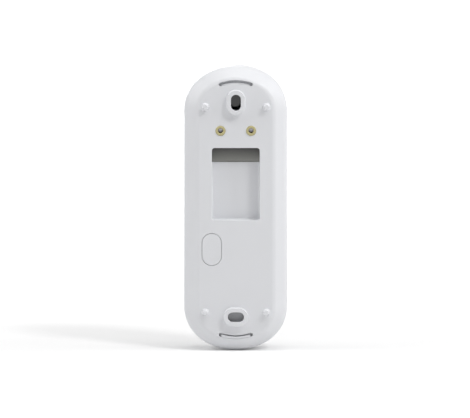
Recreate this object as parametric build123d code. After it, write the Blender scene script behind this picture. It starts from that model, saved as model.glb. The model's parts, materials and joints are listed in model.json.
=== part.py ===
from build123d import *
import math
import os

# All lengths are in millimetres. X runs across the doorbell and Z up it. The wall is the plane y = 0.
# A depth is a distance from the wall towards the visitor, so a depth of 5 is y = -5.

# ---- outer form, a tall pill ----
body_width = 46.0
body_height = 127.0
body_depth = 24.0
end_radius = 27.6  # wide arc over the top and under the bottom
corner_radius = 18.7  # tighter arcs between those and the straight sides
half_width = body_width / 2
half_height = body_height / 2

# ---- rear housing ----
standoff = 2.5  # bosses and pegs hold the panel this far off the wall
rear_wall = 2.0
panel_side_inset = 5.85
panel_end_inset = 4.9
panel_end_tightening = 7.1
panel_corner_tightening = 4.7
bevel_rise = 3.7
bevel_inset = 1.1
shoulder_rise = 1.8
rim_rise = 1.0
cavity_floor_inset = 1.2
cavity_slope = 3.3
floor_depth = standoff + rear_wall
bevel_depth = standoff + bevel_rise
shoulder_depth = bevel_depth + shoulder_rise
parting_depth = shoulder_depth + rim_rise
cavity_depth = floor_depth + cavity_slope

# ---- front cover ----
cover_wall = 1.8
cover_front = 2.0
front_edge_radius = 3.5
parting_gap = 0.15
lip_gap = 0.2
lip_wall = 1.2
lip_height = 2.0
lip_inset = cover_wall + lip_gap
cavity_inset = lip_inset + lip_wall
lip_depth = parting_depth + lip_height
cover_inside_depth = body_depth - cover_front

# ---- fascia inlay ----
fascia_inset = 4.2
fascia_below_camera = 12.0
fascia_corner = 4.0
fascia_thickness = 1.2
fascia_gap = 0.1
fascia_back_depth = body_depth - fascia_thickness

# ---- wall screw slots and pegs ----
slot_width = 4.4
slot_length = 7.2
slot_end_inset = 15.5
boss_wall = 1.9
slot_z = half_height - slot_end_inset
peg_base_radius = 1.7
peg_tip_radius = 1.2
peg_side_inset = 9.4
peg_end_inset = 17.5
peg_x = half_width - peg_side_inset
peg_z = half_height - peg_end_inset

# ---- arc slots and the cover's tongues in them ----
arc_slot_chord = 15.1
arc_slot_width = 1.7
arc_slot_radius = 20.7
arc_slot_end_inset = 6.35
tongue_gap = 0.25
tongue_recess = 0.9
tongue_rib_width = 1.2
tongue_rib_spacing = 7.0
tongue_rib_rise = 3.0
arc_slot_z = half_height - arc_slot_end_inset
tongue_depth = standoff + tongue_recess

# ---- guide posts behind the screw slots ----
top_post_width = 10.0
top_post_height = 6.8
top_post_drop = 2.2
top_post_depth = 12.0
bottom_post_width = 10.6
bottom_post_height = 8.0
bottom_post_depth = 10.0
post_window_gap = 0.2
top_post_z = slot_z - top_post_drop + top_post_height / 2

# ---- wire pocket ----
pocket_width = 21.3
pocket_height = 32.4
pocket_top_drop = 35.9
pocket_sink = 5.5
pocket_wall = 1.5
pocket_corner = 1.2
pocket_floor_fillet = 1.0
pocket_top_z = half_height - pocket_top_drop
pocket_bottom_z = pocket_top_z - pocket_height
pocket_z = (pocket_top_z + pocket_bottom_z) / 2
pocket_depth = standoff + pocket_sink
pocket_back_depth = pocket_depth + pocket_wall

# ---- wire well, an opening through the top of the pocket's floor with a plate behind it ----
well_height = 6.6
well_plate_lap = 1.1
well_plate_thickness = 0.6
well_z = pocket_top_z - well_height / 2

# ---- wire terminals ----
insert_radius = 2.25
insert_thread_radius = 1.23
insert_proud = 0.3
insert_length = 5.3
insert_spacing = 13.6
insert_rise = 7.7
insert_boss_wall = 1.25
strap_radius = 2.2
strap_thickness = 0.4
strap_leg_width = 2.0
insert_z = pocket_top_z + insert_rise
insert_near = standoff - insert_proud
insert_far = insert_near + insert_length

# ---- inner frame ----
frame_gap = 0.4
frame_wall = 1.5
frame_corner = 4.0
screw_bay_length = 22.5
face_gap = 2.0
seal_seat_height = 3.0
seal_seat_wall = 1.4
seal_seat_step = 0.1
seal_thickness = 0.8
frame_half_width = half_width - cavity_inset - frame_gap
frame_half_height = half_height - screw_bay_length
seal_seat_depth = floor_depth + seal_seat_height
frame_rear_depth = seal_seat_depth + seal_thickness
frame_front_depth = cover_inside_depth - face_gap
frame_inside_depth = frame_front_depth - frame_wall
frame_room_half_width = frame_half_width - frame_wall
frame_room_half_height = frame_half_height - frame_wall

# ---- frame screws, M2.5 ----
frame_screw_radius = 1.15
frame_screw_length = 5.6
frame_screw_head_radius = 2.3
frame_screw_head_height = 1.8
thread_gap = 0.05
screw_post_radius = 3.0
ear_radius = 3.4
ear_thickness = 2.5
bore_runout = 0.4
ear_front_depth = frame_rear_depth + ear_thickness

# ---- main board ----
board_thickness = 1.0
board_gap = 0.4
board_corner = 2.1
board_air = 1.0
board_screw_inset = 3.0
board_post_radius = 2.4
board_screw_radius = 0.95
board_screw_length = 5.0
board_screw_head_radius = 1.9
board_screw_head_height = 1.2
hole_gap = 0.15
board_rear_depth = pocket_back_depth + board_air
board_front_depth = board_rear_depth + board_thickness
board_half_width = frame_room_half_width - board_gap
board_half_height = frame_room_half_height - board_gap
board_screw_x = board_half_width - board_screw_inset
board_screw_z = board_half_height - board_screw_inset

# ---- small screws for the camera and button boards, M1.6 ----
small_screw_radius = 0.75
small_screw_length = 3.2
small_screw_head_radius = 1.4
small_screw_head_height = 0.5
small_post_radius = 1.6

# ---- where the three front modules sit ----
camera_end_inset = 13.0
button_end_inset = 15.0
camera_z = frame_half_height - camera_end_inset
button_z = button_end_inset - frame_half_height
speaker_z = (camera_z + button_z) / 2

# ---- camera ----
turret_radius = 9.5
turret_wall = 1.5
bezel_height = 1.3
bezel_lip_height = 0.3
bezel_lip_wall = 1.6
bezel_wall = 0.8
window_gap = 0.1
front_recess = 0.1
sensor_board_width = 18.8
sensor_board_height = 15.0
sensor_board_thickness = 0.6
sensor_board_air = 0.6
sensor_screw_x = 7.6
sensor_width = 6.4
sensor_height = 5.2
sensor_thickness = 0.7
lens_holder_size = 11.0
lens_chamber_size = 8.4
lens_chamber_height = 1.5
filter_size = 8.0
filter_thickness = 0.3
barrel_radius = 4.0
barrel_gap = 0.05
barrel_bore_radius = 3.0
barrel_lift = 0.2
barrel_head_radius = 5.8
barrel_head_wall = 1.3
barrel_front_step = 2.1
glass_gap = 0.02
rear_lens_thickness = 1.0
middle_lens_thickness = 1.2
front_lens_thickness = 1.0
front_lens_dome = 0.4
ir_board_thickness = 0.6
ir_led_size = 1.3
ir_led_height = 0.8
light_sensor_width = 1.2
light_sensor_height = 0.6
camera_clearance = 0.25
connector_width = 6.0
connector_height = 2.6
connector_drop = 5.0
bezel_far = body_depth - front_recess
bezel_near = bezel_far - bezel_height
turret_bore_radius = turret_radius - turret_wall
sensor_board_rear = board_front_depth + sensor_board_air
sensor_board_front = sensor_board_rear + sensor_board_thickness
lens_chamber_depth = sensor_board_front + lens_chamber_height
barrel_head_depth = frame_inside_depth - barrel_lift
lens_hole_radius = barrel_head_radius + camera_clearance
barrel_rear_depth = lens_chamber_depth + barrel_lift
barrel_step_depth = barrel_head_depth + barrel_front_step
barrel_front_depth = barrel_step_depth + front_lens_thickness
ir_board_far = frame_front_depth + ir_board_thickness
ir_ring_radius = (turret_bore_radius + lens_hole_radius) / 2

# ---- speaker ----
speaker_radius = 10.0
speaker_height = 2.4
speaker_wall = 1.4
speaker_plate = 0.7
speaker_seal_thickness = 0.3
magnet_radius = 6.1
magnet_height = 2.2
magnet_back = 0.6
magnet_overhang = 0.5
coil_radius = 4.6
coil_wall = 0.4
coil_gap = 0.2
coil_height = 1.4
cone_thickness = 0.3
cone_gap = 0.1
speaker_opening_radius = 7.5
mesh_overlap = 0.7
mesh_thickness = 0.2
speaker_contact_width = 1.6
speaker_contact_height = 2.4
grille_hole_radius = 0.7
grille_pitch = 2.2
grille_columns = 7
grille_rows = 3
speaker_far = frame_inside_depth - speaker_seal_thickness
speaker_near = speaker_far - speaker_height
magnet_near = speaker_near - magnet_overhang
magnet_far = magnet_near + magnet_height
cone_near = magnet_far + coil_gap

# ---- button ----
button_radius = 8.65
button_head_height = 1.8
button_flange = 0.85
button_flange_height = 1.0
button_travel = 0.4
button_gap = 0.15
button_side_gap = 0.2
button_proud = 0.2
stem_radius = 2.5
stem_length = 2.7
stem_gap = 0.06
stem_seal_wall = 1.4
stem_seal_lip = 0.3
light_ring_radius = 10.4
light_ring_recess = 0.3
light_leg_radius = 0.6
light_leg_inset = 0.05
light_leg_air = 0.2
cover_hole_gap = 0.2
button_board_width = 23.0
button_board_height = 18.8
button_board_thickness = 0.8
button_screw_x = 9.0
switch_size = 6.0
switch_height = 1.6
switch_stroke_room = 0.1
plunger_radius = 1.7
plunger_gap = 0.05
plunger_show = 0.6
plunger_inside = 0.6
led_size = 1.6
led_height = 0.7
light_legs = 4
button_far = body_depth - button_proud
flange_far = button_far - button_head_height
flange_near = flange_far - button_flange_height
stem_end_depth = flange_near - stem_length
switch_front_depth = stem_end_depth - plunger_show
switch_rear_depth = switch_front_depth - switch_height
button_board_rear = switch_rear_depth - button_board_thickness
light_ring_far = body_depth - light_ring_recess
light_ring_step = flange_far + button_side_gap
light_leg_circle = light_ring_radius - light_leg_radius - light_leg_inset

# ---- ribbon from the button board to the main board ----
ribbon_width = 8.0
ribbon_thickness = 0.2
ribbon_foot = 3.0
ribbon_drop = 5.0

# ---- parts on the main board ----
shield_width = 16.0
shield_height = 14.0
shield_depth = 1.2
shield_x = -4.0
shield_drop = 9.0
inductor_size = 6.0
inductor_height = 3.0
inductor_side_gap = 3.9
capacitor_radius = 3.15
capacitor_air = 1.6
capacitor_side_gap = 1.25
capacitor_pitch = 7.0
mic_width = 3.5
mic_height = 2.65
mic_depth = 1.0
mic_port_depth = 0.5
mic_side_gap = 2.5
mic_rise = 11.5
mic_hole_radius = 0.6
mic_boot_radius = 2.4
antenna_length = 22.0
antenna_width = 6.0
antenna_thickness = 0.3
inductor_x = frame_room_half_width - inductor_side_gap - inductor_size / 2
capacitor_x = frame_room_half_width - capacitor_side_gap - capacitor_radius
mic_x = mic_boot_radius + mic_side_gap - frame_room_half_width

# ---- service port, its plug and what lies behind it ----
plug_side_inset = 12.3
plug_drop = 13.0
plug_width = 9.0
plug_height = 14.6
plug_gap = 0.2
plug_ledge = 0.8
plug_head = 1.2
plug_stem_past = 0.4
usb_rise = 3.2
usb_width = 3.2
usb_height = 9.0
usb_length = 5.3
usb_wall = 0.4
usb_tongue = 0.6
usb_tongue_gap = 0.6
reset_drop = 4.6
reset_size = 4.0
reset_height = 2.0
reset_plunger_radius = 0.9
reset_show = 0.8
reset_travel = 0.3
plug_x = half_width - plug_side_inset
plug_z = pocket_bottom_z - plug_drop
usb_z = plug_z + usb_rise
reset_z = plug_z - reset_drop
plug_ledge_depth = standoff + plug_head

# ---- backup cell ----
cell_thickness = 4.5
cell_side_inset = 2.5
cell_gap = 1.8
cell_corner = 1.5
cell_pad_thickness = 0.9
cell_pad_inset = 2.0
cell_near = floor_depth + cell_pad_thickness
cell_far = cell_near + cell_thickness
cell_left = cell_side_inset - frame_room_half_width
cell_right = plug_x - plug_width / 2 - cell_gap
cell_top = pocket_bottom_z - pocket_wall - cell_gap
cell_bottom = board_screw_head_radius + cell_gap - board_screw_z
cell_x = (cell_left + cell_right) / 2
cell_z = (cell_top + cell_bottom) / 2


def slab(face, near, far):
    """A flat outline made solid from one depth to another."""
    return extrude(Plane.XZ.offset(near) * face, amount=far - near)


def block(width, height, near, far, x=0.0, z=0.0, corner=0.0):
    """A rectangular piece, its corners rounded if asked."""
    outline = RectangleRounded(width, height, corner) if corner else Rectangle(width, height)
    return slab(Pos(x, z) * outline, near, far)


def disc(radius, near, far, x=0.0, z=0.0):
    """A round piece with its axis square to the wall."""
    return slab(Pos(x, z) * Circle(radius), near, far)


def tube(radius, bore, near, far, x=0.0, z=0.0):
    """A round piece with a bore right through."""
    return slab(Pos(x, z) * (Circle(radius) - Circle(bore)), near, far)


def oblong(width, height):
    """A flat slot outline with full round ends, upright or lying by its longer side."""
    turn = 90 if height > width else 0
    return Rot(0, 0, turn) * SlotOverall(max(width, height), min(width, height))


def pill(half_w, half_h, end_r, corner_r, inset=0.0):
    """A pill outline: straight sides, a wide arc over each end and a tighter arc at each corner."""
    corner_x = half_w - corner_r
    end_z = half_h - end_r
    corner_z = end_z + math.sqrt((end_r - corner_r) ** 2 - corner_x**2)
    lean = math.atan2(corner_z - end_z, corner_x)
    side_x = half_w - inset
    end_reach = end_r - inset
    corner_reach = corner_r - inset
    meet = (end_reach * math.cos(lean), end_z + end_reach * math.sin(lean))
    middle_x = corner_x + corner_reach * math.cos(lean / 2)
    middle_z = corner_z + corner_reach * math.sin(lean / 2)
    side = Line((side_x, -corner_z), (side_x, corner_z))
    corner = ThreePointArc((side_x, corner_z), (middle_x, middle_z), meet)
    top = ThreePointArc(meet, (0, half_h - inset), (-meet[0], meet[1]))
    left_corner = mirror(corner, about=Plane.YZ)
    upper = [side, corner, top, left_corner]
    lower = [mirror(edge, about=Plane.XZ) for edge in (left_corner, top, corner)]
    return make_face(upper + [mirror(side, about=Plane.YZ)] + lower)


def body_face(inset=0.0):
    """The doorbell's outline."""
    return pill(half_width, half_height, end_radius, corner_radius, inset)


def panel_face(inset=0.0):
    """The outline of the flat panel on the back."""
    panel_half_width = half_width - panel_side_inset
    panel_half_height = half_height - panel_end_inset
    panel_end_radius = end_radius - panel_end_tightening
    panel_corner_radius = corner_radius - panel_corner_tightening
    return pill(panel_half_width, panel_half_height, panel_end_radius, panel_corner_radius, inset)


def bridge(near_face, near, far_face, far):
    """A solid that runs straight from one outline to another."""
    return loft([Plane.XZ.offset(near) * near_face, Plane.XZ.offset(far) * far_face], ruled=True)


def arc_outline(width, chord):
    """A round-ended strip that follows the arc slot at the top."""
    sweep = math.degrees(math.asin((chord - width) / 2 / arc_slot_radius))
    centre = (0, arc_slot_z - arc_slot_radius)
    return SlotArc(CenterArc(centre, arc_slot_radius, 90 - sweep, 2 * sweep), width)


def both_ends(shape):
    """A shape and its mirror image at the other end."""
    return [shape, mirror(shape, about=Plane.XY)]


def corners(x, z):
    """The four places at the same distances either side of the middle."""
    return [(i * x, j * z) for i in (-1, 1) for j in (-1, 1)]


def legs():
    """Where the light ring's legs stand around the button."""
    turns = [math.radians(360 / light_legs * (i + 0.5)) for i in range(light_legs)]
    return [(light_leg_circle * math.cos(t), button_z + light_leg_circle * math.sin(t)) for t in turns]


def grille():
    """Where the speaker holes go through the front cover."""
    across = [(i - (grille_columns - 1) / 2) * grille_pitch for i in range(grille_columns)]
    up = [(j - (grille_rows - 1) / 2) * grille_pitch for j in range(grille_rows)]
    return [(x, speaker_z + z) for x in across for z in up]


def screw(radius, length, head_radius, head_height, seat, toward, x, z):
    """A pan-head screw. Seat is the depth under its head, and toward is 1 if it points at the visitor."""
    shank = disc(radius, seat, seat + toward * length, x, z)
    return shank + disc(head_radius, seat - toward * head_height, seat, x, z)


# ---- base: the rear housing ----


def rear_skin():
    """The outside of the rear housing as one solid lump."""
    skin = bridge(panel_face(), standoff, body_face(bevel_inset), bevel_depth)
    skin += bridge(body_face(bevel_inset), bevel_depth, body_face(), shoulder_depth)
    skin += slab(body_face(), shoulder_depth, parting_depth)
    return skin + slab(body_face(lip_inset), parting_depth, lip_depth)


def rear_room():
    """The room inside the rear housing."""
    room = bridge(panel_face(cavity_floor_inset), floor_depth, body_face(cavity_inset), cavity_depth)
    return room + slab(body_face(cavity_inset), cavity_depth, lip_depth)


def seal_outline(width_loss):
    """The seal's seat, a rounded rectangle just inside the frame's outline."""
    loss = seal_seat_step + width_loss
    width = 2 * (frame_half_width - loss)
    height = 2 * (frame_half_height - loss)
    return RectangleRounded(width, height, frame_corner - loss)


def rear_ribs():
    """What stands inside the housing: pocket walls, terminal bosses, screw posts and the seal's seat."""
    ribs = slab(seal_outline(0) - seal_outline(seal_seat_wall), standoff, seal_seat_depth)
    wide = pocket_width + 2 * pocket_wall
    tall = pocket_height + 2 * pocket_wall
    ribs += block(wide, tall, standoff, pocket_back_depth, 0, pocket_z, pocket_corner + pocket_wall)
    for x in (-insert_spacing / 2, insert_spacing / 2):
        ribs += disc(insert_radius + insert_boss_wall, standoff, insert_far, x, insert_z)
    for x, z in corners(peg_x, peg_z):
        ribs += disc(screw_post_radius, standoff, frame_rear_depth, x, z)
    return ribs


def pocket_tool():
    """The wire pocket's own shape."""
    tool = block(pocket_width, pocket_height, 0, pocket_depth, 0, pocket_z, pocket_corner)
    floor = tool.faces().sort_by(Axis.Y)[0]
    return fillet(floor.edges(), pocket_floor_fillet)


def well_tool():
    """The wire well's own shape: the top of the pocket, taken right through its floor."""
    tool = block(pocket_width, pocket_height, standoff, pocket_back_depth, 0, pocket_z, pocket_corner)
    return tool & block(pocket_width, well_height, standoff, pocket_back_depth, 0, well_z)


def plug_outline(loss):
    """The service plug's outline, smaller by a loss all round."""
    return Pos(plug_x, plug_z) * oblong(plug_width - 2 * loss, plug_height - 2 * loss)


def slot_outlines(grow):
    """The upright slot at the top and the lying slot at the bottom, grown all round."""
    upright = oblong(slot_width + 2 * grow, slot_length + 2 * grow)
    lying = oblong(slot_length + 2 * grow, slot_width + 2 * grow)
    return [Pos(0, slot_z) * upright, Pos(0, -slot_z) * lying]


def peg(x, z):
    """A tapered peg that holds the panel off the wall."""
    tip = Pos(x, z) * Circle(peg_tip_radius)
    base = Pos(x, z) * Circle(peg_base_radius)
    return bridge(tip, 0, base, standoff) + slab(base, standoff, floor_depth)


def rear_housing():
    housing = rear_skin() - rear_room()
    housing += rear_skin() & rear_ribs()
    for outline in slot_outlines(boss_wall):
        housing += slab(outline, 0, floor_depth)
    for x, z in corners(peg_x, peg_z):
        housing += peg(x, z)
        pilot = frame_screw_radius + thread_gap
        deepest = ear_front_depth - frame_screw_length - bore_runout
        housing -= disc(pilot, deepest, frame_rear_depth, x, z)
    housing -= pocket_tool()
    housing -= well_tool()
    for outline in slot_outlines(0):
        housing -= slab(outline, 0, floor_depth)
    for slot in both_ends(slab(arc_outline(arc_slot_width, arc_slot_chord), 0, cavity_depth)):
        housing -= slot
    for x in (-insert_spacing / 2, insert_spacing / 2):
        housing -= disc(insert_radius, 0, insert_far, x, insert_z)
    housing -= slab(plug_outline(0), 0, plug_ledge_depth)
    housing -= slab(plug_outline(plug_ledge), 0, floor_depth)
    return housing


def well_plate():
    """The plate that closes the wire well, on the pocket's rear face."""
    width = pocket_width + 2 * well_plate_lap
    height = well_height + 2 * well_plate_lap
    far = pocket_back_depth + well_plate_thickness
    return block(width, height, pocket_back_depth, far, 0, well_z, pocket_corner)


def terminal_inserts():
    inserts = []
    for x in (-insert_spacing / 2, insert_spacing / 2):
        inserts.append(tube(insert_radius, insert_thread_radius, insert_near, insert_far, x, insert_z))
    return Compound(inserts)


def terminal_straps():
    straps = []
    for side in (-1, 1):
        x = side * insert_spacing / 2
        pad = disc(strap_radius, insert_far, insert_far + strap_thickness, x, insert_z)
        leg_z = insert_z + strap_radius
        leg = block(strap_leg_width, strap_thickness, insert_far, board_rear_depth, x, leg_z)
        straps.append(pad + leg)
    return Compound(straps)


# ---- base: the frame that carries the electronics ----


def frame_posts():
    """Posts inside the frame for the main board and the two small boards."""
    posts = []
    for x, z in corners(board_screw_x, board_screw_z):
        posts.append(disc(board_post_radius, board_front_depth, frame_inside_depth, x, z))
    for x in (-sensor_screw_x, sensor_screw_x):
        posts.append(disc(small_post_radius, sensor_board_front, frame_inside_depth, x, camera_z))
    for x in (-button_screw_x, button_screw_x):
        posts.append(disc(small_post_radius, switch_rear_depth, frame_inside_depth, x, button_z))
    return posts


def frame_bores():
    """The screw holes in those posts."""
    bores = []
    for x, z in corners(board_screw_x, board_screw_z):
        far = board_rear_depth + board_screw_length + bore_runout
        bores.append(disc(board_screw_radius + thread_gap, board_front_depth, far, x, z))
    small_bore = small_screw_radius + thread_gap
    for x in (-sensor_screw_x, sensor_screw_x):
        far = sensor_board_rear + small_screw_length + bore_runout
        bores.append(disc(small_bore, sensor_board_front, far, x, camera_z))
    for x in (-button_screw_x, button_screw_x):
        far = button_board_rear + small_screw_length + bore_runout
        bores.append(disc(small_bore, switch_rear_depth, far, x, button_z))
    return bores


def frame_openings():
    """The holes in the frame's front wall: lens, speaker, button stem, light legs and microphone."""
    near = frame_inside_depth
    far = frame_front_depth
    holes = [disc(lens_hole_radius, near, far, 0, camera_z)]
    holes.append(disc(speaker_opening_radius, near, far, 0, speaker_z))
    holes.append(disc(stem_radius + stem_gap + stem_seal_wall, near, far, 0, button_z))
    for x, z in legs():
        holes.append(disc(light_leg_radius + button_gap, near, far, x, z))
    holes.append(disc(mic_hole_radius, near, far, mic_x, speaker_z + mic_rise))
    return holes


def frame_ears():
    """Four ears beyond the frame's ends, each with a screw hole."""
    ears = []
    for x, z in corners(peg_x, peg_z):
        end = math.copysign(frame_half_height - frame_wall / 2, z)
        link = block(2 * ear_radius, abs(z - end), frame_rear_depth, ear_front_depth, x, (z + end) / 2)
        ear = link + disc(ear_radius, frame_rear_depth, ear_front_depth, x, z)
        hole = frame_screw_radius + hole_gap
        ears.append(ear - disc(hole, frame_rear_depth, ear_front_depth, x, z))
    return ears


def inner_frame():
    wide = 2 * frame_half_width
    tall = 2 * frame_half_height
    room_wide = 2 * frame_room_half_width
    room_tall = 2 * frame_room_half_height
    room_corner = frame_corner - frame_wall
    frame = block(wide, tall, frame_rear_depth, frame_front_depth, corner=frame_corner)
    frame -= block(room_wide, room_tall, frame_rear_depth, frame_inside_depth, corner=room_corner)
    for piece in frame_posts() + frame_ears():
        frame += piece
    frame += tube(turret_radius, turret_bore_radius, frame_front_depth, bezel_near, 0, camera_z)
    for tool in frame_bores() + frame_openings():
        frame -= tool
    return frame


def frame_screws():
    size = (frame_screw_radius, frame_screw_length, frame_screw_head_radius, frame_screw_head_height)
    return Compound([screw(*size, ear_front_depth, -1, x, z) for x, z in corners(peg_x, peg_z)])


def housing_seal():
    ring = seal_outline(0) - seal_outline(seal_seat_wall)
    return slab(ring, seal_seat_depth, frame_rear_depth)


# ---- base: the main board and what is on it ----


def main_board():
    wide = 2 * board_half_width
    tall = 2 * board_half_height
    board = block(wide, tall, board_rear_depth, board_front_depth, corner=board_corner)
    for x, z in corners(board_screw_x, board_screw_z):
        board -= disc(board_screw_radius + hole_gap, board_rear_depth, board_front_depth, x, z)
    return board


def board_screws():
    size = (board_screw_radius, board_screw_length, board_screw_head_radius, board_screw_head_height)
    places = corners(board_screw_x, board_screw_z)
    return Compound([screw(*size, board_rear_depth, 1, x, z) for x, z in places])


def module_screws():
    places = [(x, camera_z, sensor_board_rear) for x in (-sensor_screw_x, sensor_screw_x)]
    places += [(x, button_z, button_board_rear) for x in (-button_screw_x, button_screw_x)]
    size = (small_screw_radius, small_screw_length, small_screw_head_radius, small_screw_head_height)
    return Compound([screw(*size, seat, 1, x, z) for x, z, seat in places])


def processor_shield():
    far = board_front_depth + shield_depth
    z = speaker_z - shield_drop
    return block(shield_width, shield_height, board_front_depth, far, shield_x, z, 0.6)


def power_inductor():
    far = board_front_depth + inductor_height
    z = speaker_z - shield_drop
    return block(inductor_size, inductor_size, board_front_depth, far, inductor_x, z, 1.2)


def power_capacitors():
    cans = []
    far = frame_inside_depth - capacitor_air
    top = camera_z - sensor_board_height / 2 - capacitor_radius
    for z in (top, top - capacitor_pitch):
        cans.append(disc(capacitor_radius, board_front_depth, far, capacitor_x, z))
    return Compound(cans)


def wifi_antenna():
    x = antenna_thickness / 2 - frame_room_half_width
    near = frame_inside_depth - antenna_width
    return block(antenna_thickness, antenna_length, near, frame_inside_depth, x, speaker_z - shield_drop)


def microphone():
    z = speaker_z + mic_rise
    far = board_front_depth + mic_depth
    can = block(mic_width, mic_height, board_front_depth, far, mic_x, z)
    return can - disc(mic_hole_radius, far - mic_port_depth, far, mic_x, z)


def mic_boot():
    near = board_front_depth + mic_depth
    return tube(mic_boot_radius, mic_hole_radius, near, frame_inside_depth, mic_x, speaker_z + mic_rise)


def usb_port():
    near = board_rear_depth - usb_length
    shell = block(usb_width, usb_height, near, board_rear_depth, plug_x, usb_z, 0.8)
    room_width = usb_width - 2 * usb_wall
    room_height = usb_height - 2 * usb_wall
    floor = board_rear_depth - usb_wall
    shell -= block(room_width, room_height, near, floor, plug_x, usb_z, 0.4)
    tongue_height = room_height - 2 * usb_tongue_gap
    return shell + block(usb_tongue, tongue_height, near + usb_tongue_gap, floor, plug_x, usb_z)


def reset_switch():
    near = board_rear_depth - reset_height
    body = block(reset_size, reset_size, near, board_rear_depth, plug_x, reset_z, 0.4)
    bottom = near + plunger_inside + reset_travel + switch_stroke_room
    return body - disc(reset_plunger_radius + plunger_gap, near, bottom, plug_x, reset_z)


def reset_plunger():
    near = board_rear_depth - reset_height
    return disc(reset_plunger_radius, near - reset_show, near + plunger_inside, plug_x, reset_z)


def service_plug():
    head = slab(plug_outline(plug_gap), standoff, plug_ledge_depth)
    stem_far = floor_depth + plug_stem_past
    return head + slab(plug_outline(plug_ledge + plug_gap), plug_ledge_depth, stem_far)


def backup_cell():
    wide = cell_right - cell_left
    tall = cell_top - cell_bottom
    return block(wide, tall, cell_near, cell_far, cell_x, cell_z, cell_corner)


def cell_pad():
    wide = cell_right - cell_left - 2 * cell_pad_inset
    tall = cell_top - cell_bottom - 2 * cell_pad_inset
    return block(wide, tall, floor_depth, cell_near, cell_x, cell_z)


# ---- base: the camera ----


def sensor_board():
    size = (sensor_board_width, sensor_board_height)
    board = block(*size, sensor_board_rear, sensor_board_front, 0, camera_z, 0.8)
    for x in (-sensor_screw_x, sensor_screw_x):
        hole = small_screw_radius + hole_gap
        board -= disc(hole, sensor_board_rear, sensor_board_front, x, camera_z)
    return board


def camera_connector():
    z = camera_z - connector_drop
    return block(connector_width, connector_height, board_front_depth, sensor_board_rear, 0, z)


def image_sensor():
    far = sensor_board_front + sensor_thickness
    return block(sensor_width, sensor_height, sensor_board_front, far, 0, camera_z)


def lens_holder():
    size = lens_holder_size
    holder = block(size, size, sensor_board_front, barrel_head_depth, 0, camera_z, 0.8)
    chamber = lens_chamber_size
    holder -= block(chamber, chamber, sensor_board_front, lens_chamber_depth, 0, camera_z)
    bore = barrel_radius + barrel_gap
    return holder - disc(bore, lens_chamber_depth, barrel_head_depth, 0, camera_z)


def infrared_filter():
    near = lens_chamber_depth - filter_thickness
    return block(filter_size, filter_size, near, lens_chamber_depth, 0, camera_z)


def lens_barrel():
    barrel = disc(barrel_radius, barrel_rear_depth, barrel_head_depth, 0, camera_z)
    barrel += disc(barrel_head_radius, barrel_head_depth, barrel_front_depth, 0, camera_z)
    barrel -= disc(barrel_bore_radius, barrel_rear_depth, barrel_step_depth, 0, camera_z)
    front_bore = barrel_head_radius - barrel_head_wall
    return barrel - disc(front_bore, barrel_step_depth, barrel_front_depth, 0, camera_z)


def lens_elements():
    small = barrel_bore_radius - glass_gap
    large = barrel_head_radius - barrel_head_wall - glass_gap
    rear = disc(small, barrel_rear_depth, barrel_rear_depth + rear_lens_thickness, 0, camera_z)
    middle = disc(small, barrel_head_depth, barrel_head_depth + middle_lens_thickness, 0, camera_z)
    front = disc(large, barrel_step_depth, barrel_front_depth, 0, camera_z)
    ball_radius = (large**2 + front_lens_dome**2) / (2 * front_lens_dome)
    ball_depth = barrel_front_depth + front_lens_dome - ball_radius
    dome = Pos(0, -ball_depth, camera_z) * Sphere(ball_radius)
    dome &= disc(large, barrel_front_depth, barrel_front_depth + front_lens_dome, 0, camera_z)
    return Compound([rear, middle, front + dome])


def infrared_board():
    bore = lens_hole_radius
    return tube(turret_bore_radius - window_gap, bore, frame_front_depth, ir_board_far, 0, camera_z)


def infrared_leds():
    leds = []
    far = ir_board_far + ir_led_height
    across = ir_ring_radius * math.sqrt(0.5)
    for x, z in corners(across, across):
        leds.append(block(ir_led_size, ir_led_size, ir_board_far, far, x, camera_z + z))
    return Compound(leds)


def light_sensor():
    far = ir_board_far + light_sensor_height
    z = camera_z + ir_ring_radius
    return block(light_sensor_width, light_sensor_width, ir_board_far, far, 0, z)


def camera_window():
    radius = turret_radius - bezel_wall - window_gap
    far = bezel_far - bezel_lip_height
    return disc(radius, bezel_near, far, 0, camera_z)


def camera_bezel():
    bezel = disc(turret_radius, bezel_near, bezel_far, 0, camera_z)
    seat = bezel_far - bezel_lip_height
    bezel -= disc(turret_radius - bezel_wall, bezel_near, seat, 0, camera_z)
    return bezel - disc(turret_radius - bezel_lip_wall, seat, bezel_far, 0, camera_z)


# ---- base: the speaker ----


def speaker_frame():
    frame = tube(speaker_radius, speaker_radius - speaker_wall, speaker_near, speaker_far, 0, speaker_z)
    plate_far = speaker_near + speaker_plate
    return frame + tube(speaker_radius, magnet_radius, speaker_near, plate_far, 0, speaker_z)


def speaker_magnet():
    pot = disc(magnet_radius, magnet_near, magnet_far, 0, speaker_z)
    outer = coil_radius + coil_gap
    inner = coil_radius - coil_wall - coil_gap
    return pot - tube(outer, inner, magnet_near + magnet_back, magnet_far, 0, speaker_z)


def speaker_cone():
    cone_far = cone_near + cone_thickness
    cone = disc(speaker_radius - speaker_wall - cone_gap, cone_near, cone_far, 0, speaker_z)
    coil_near = cone_near - coil_height
    return cone + tube(coil_radius, coil_radius - coil_wall, coil_near, cone_near, 0, speaker_z)


def speaker_seal():
    bore = speaker_radius - speaker_wall
    return tube(speaker_radius, bore, speaker_far, frame_inside_depth, 0, speaker_z)


def speaker_mesh():
    far = frame_front_depth + mesh_thickness
    return disc(speaker_opening_radius + mesh_overlap, frame_front_depth, far, 0, speaker_z)


def speaker_contacts():
    contacts = []
    size = (speaker_contact_width, speaker_contact_height)
    for side in (-1, 1):
        x = side * (speaker_radius - speaker_contact_width / 2 - cone_gap)
        contacts.append(block(*size, board_front_depth, speaker_near, x, speaker_z))
    return Compound(contacts)


# ---- base: behind the button ----


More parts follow.
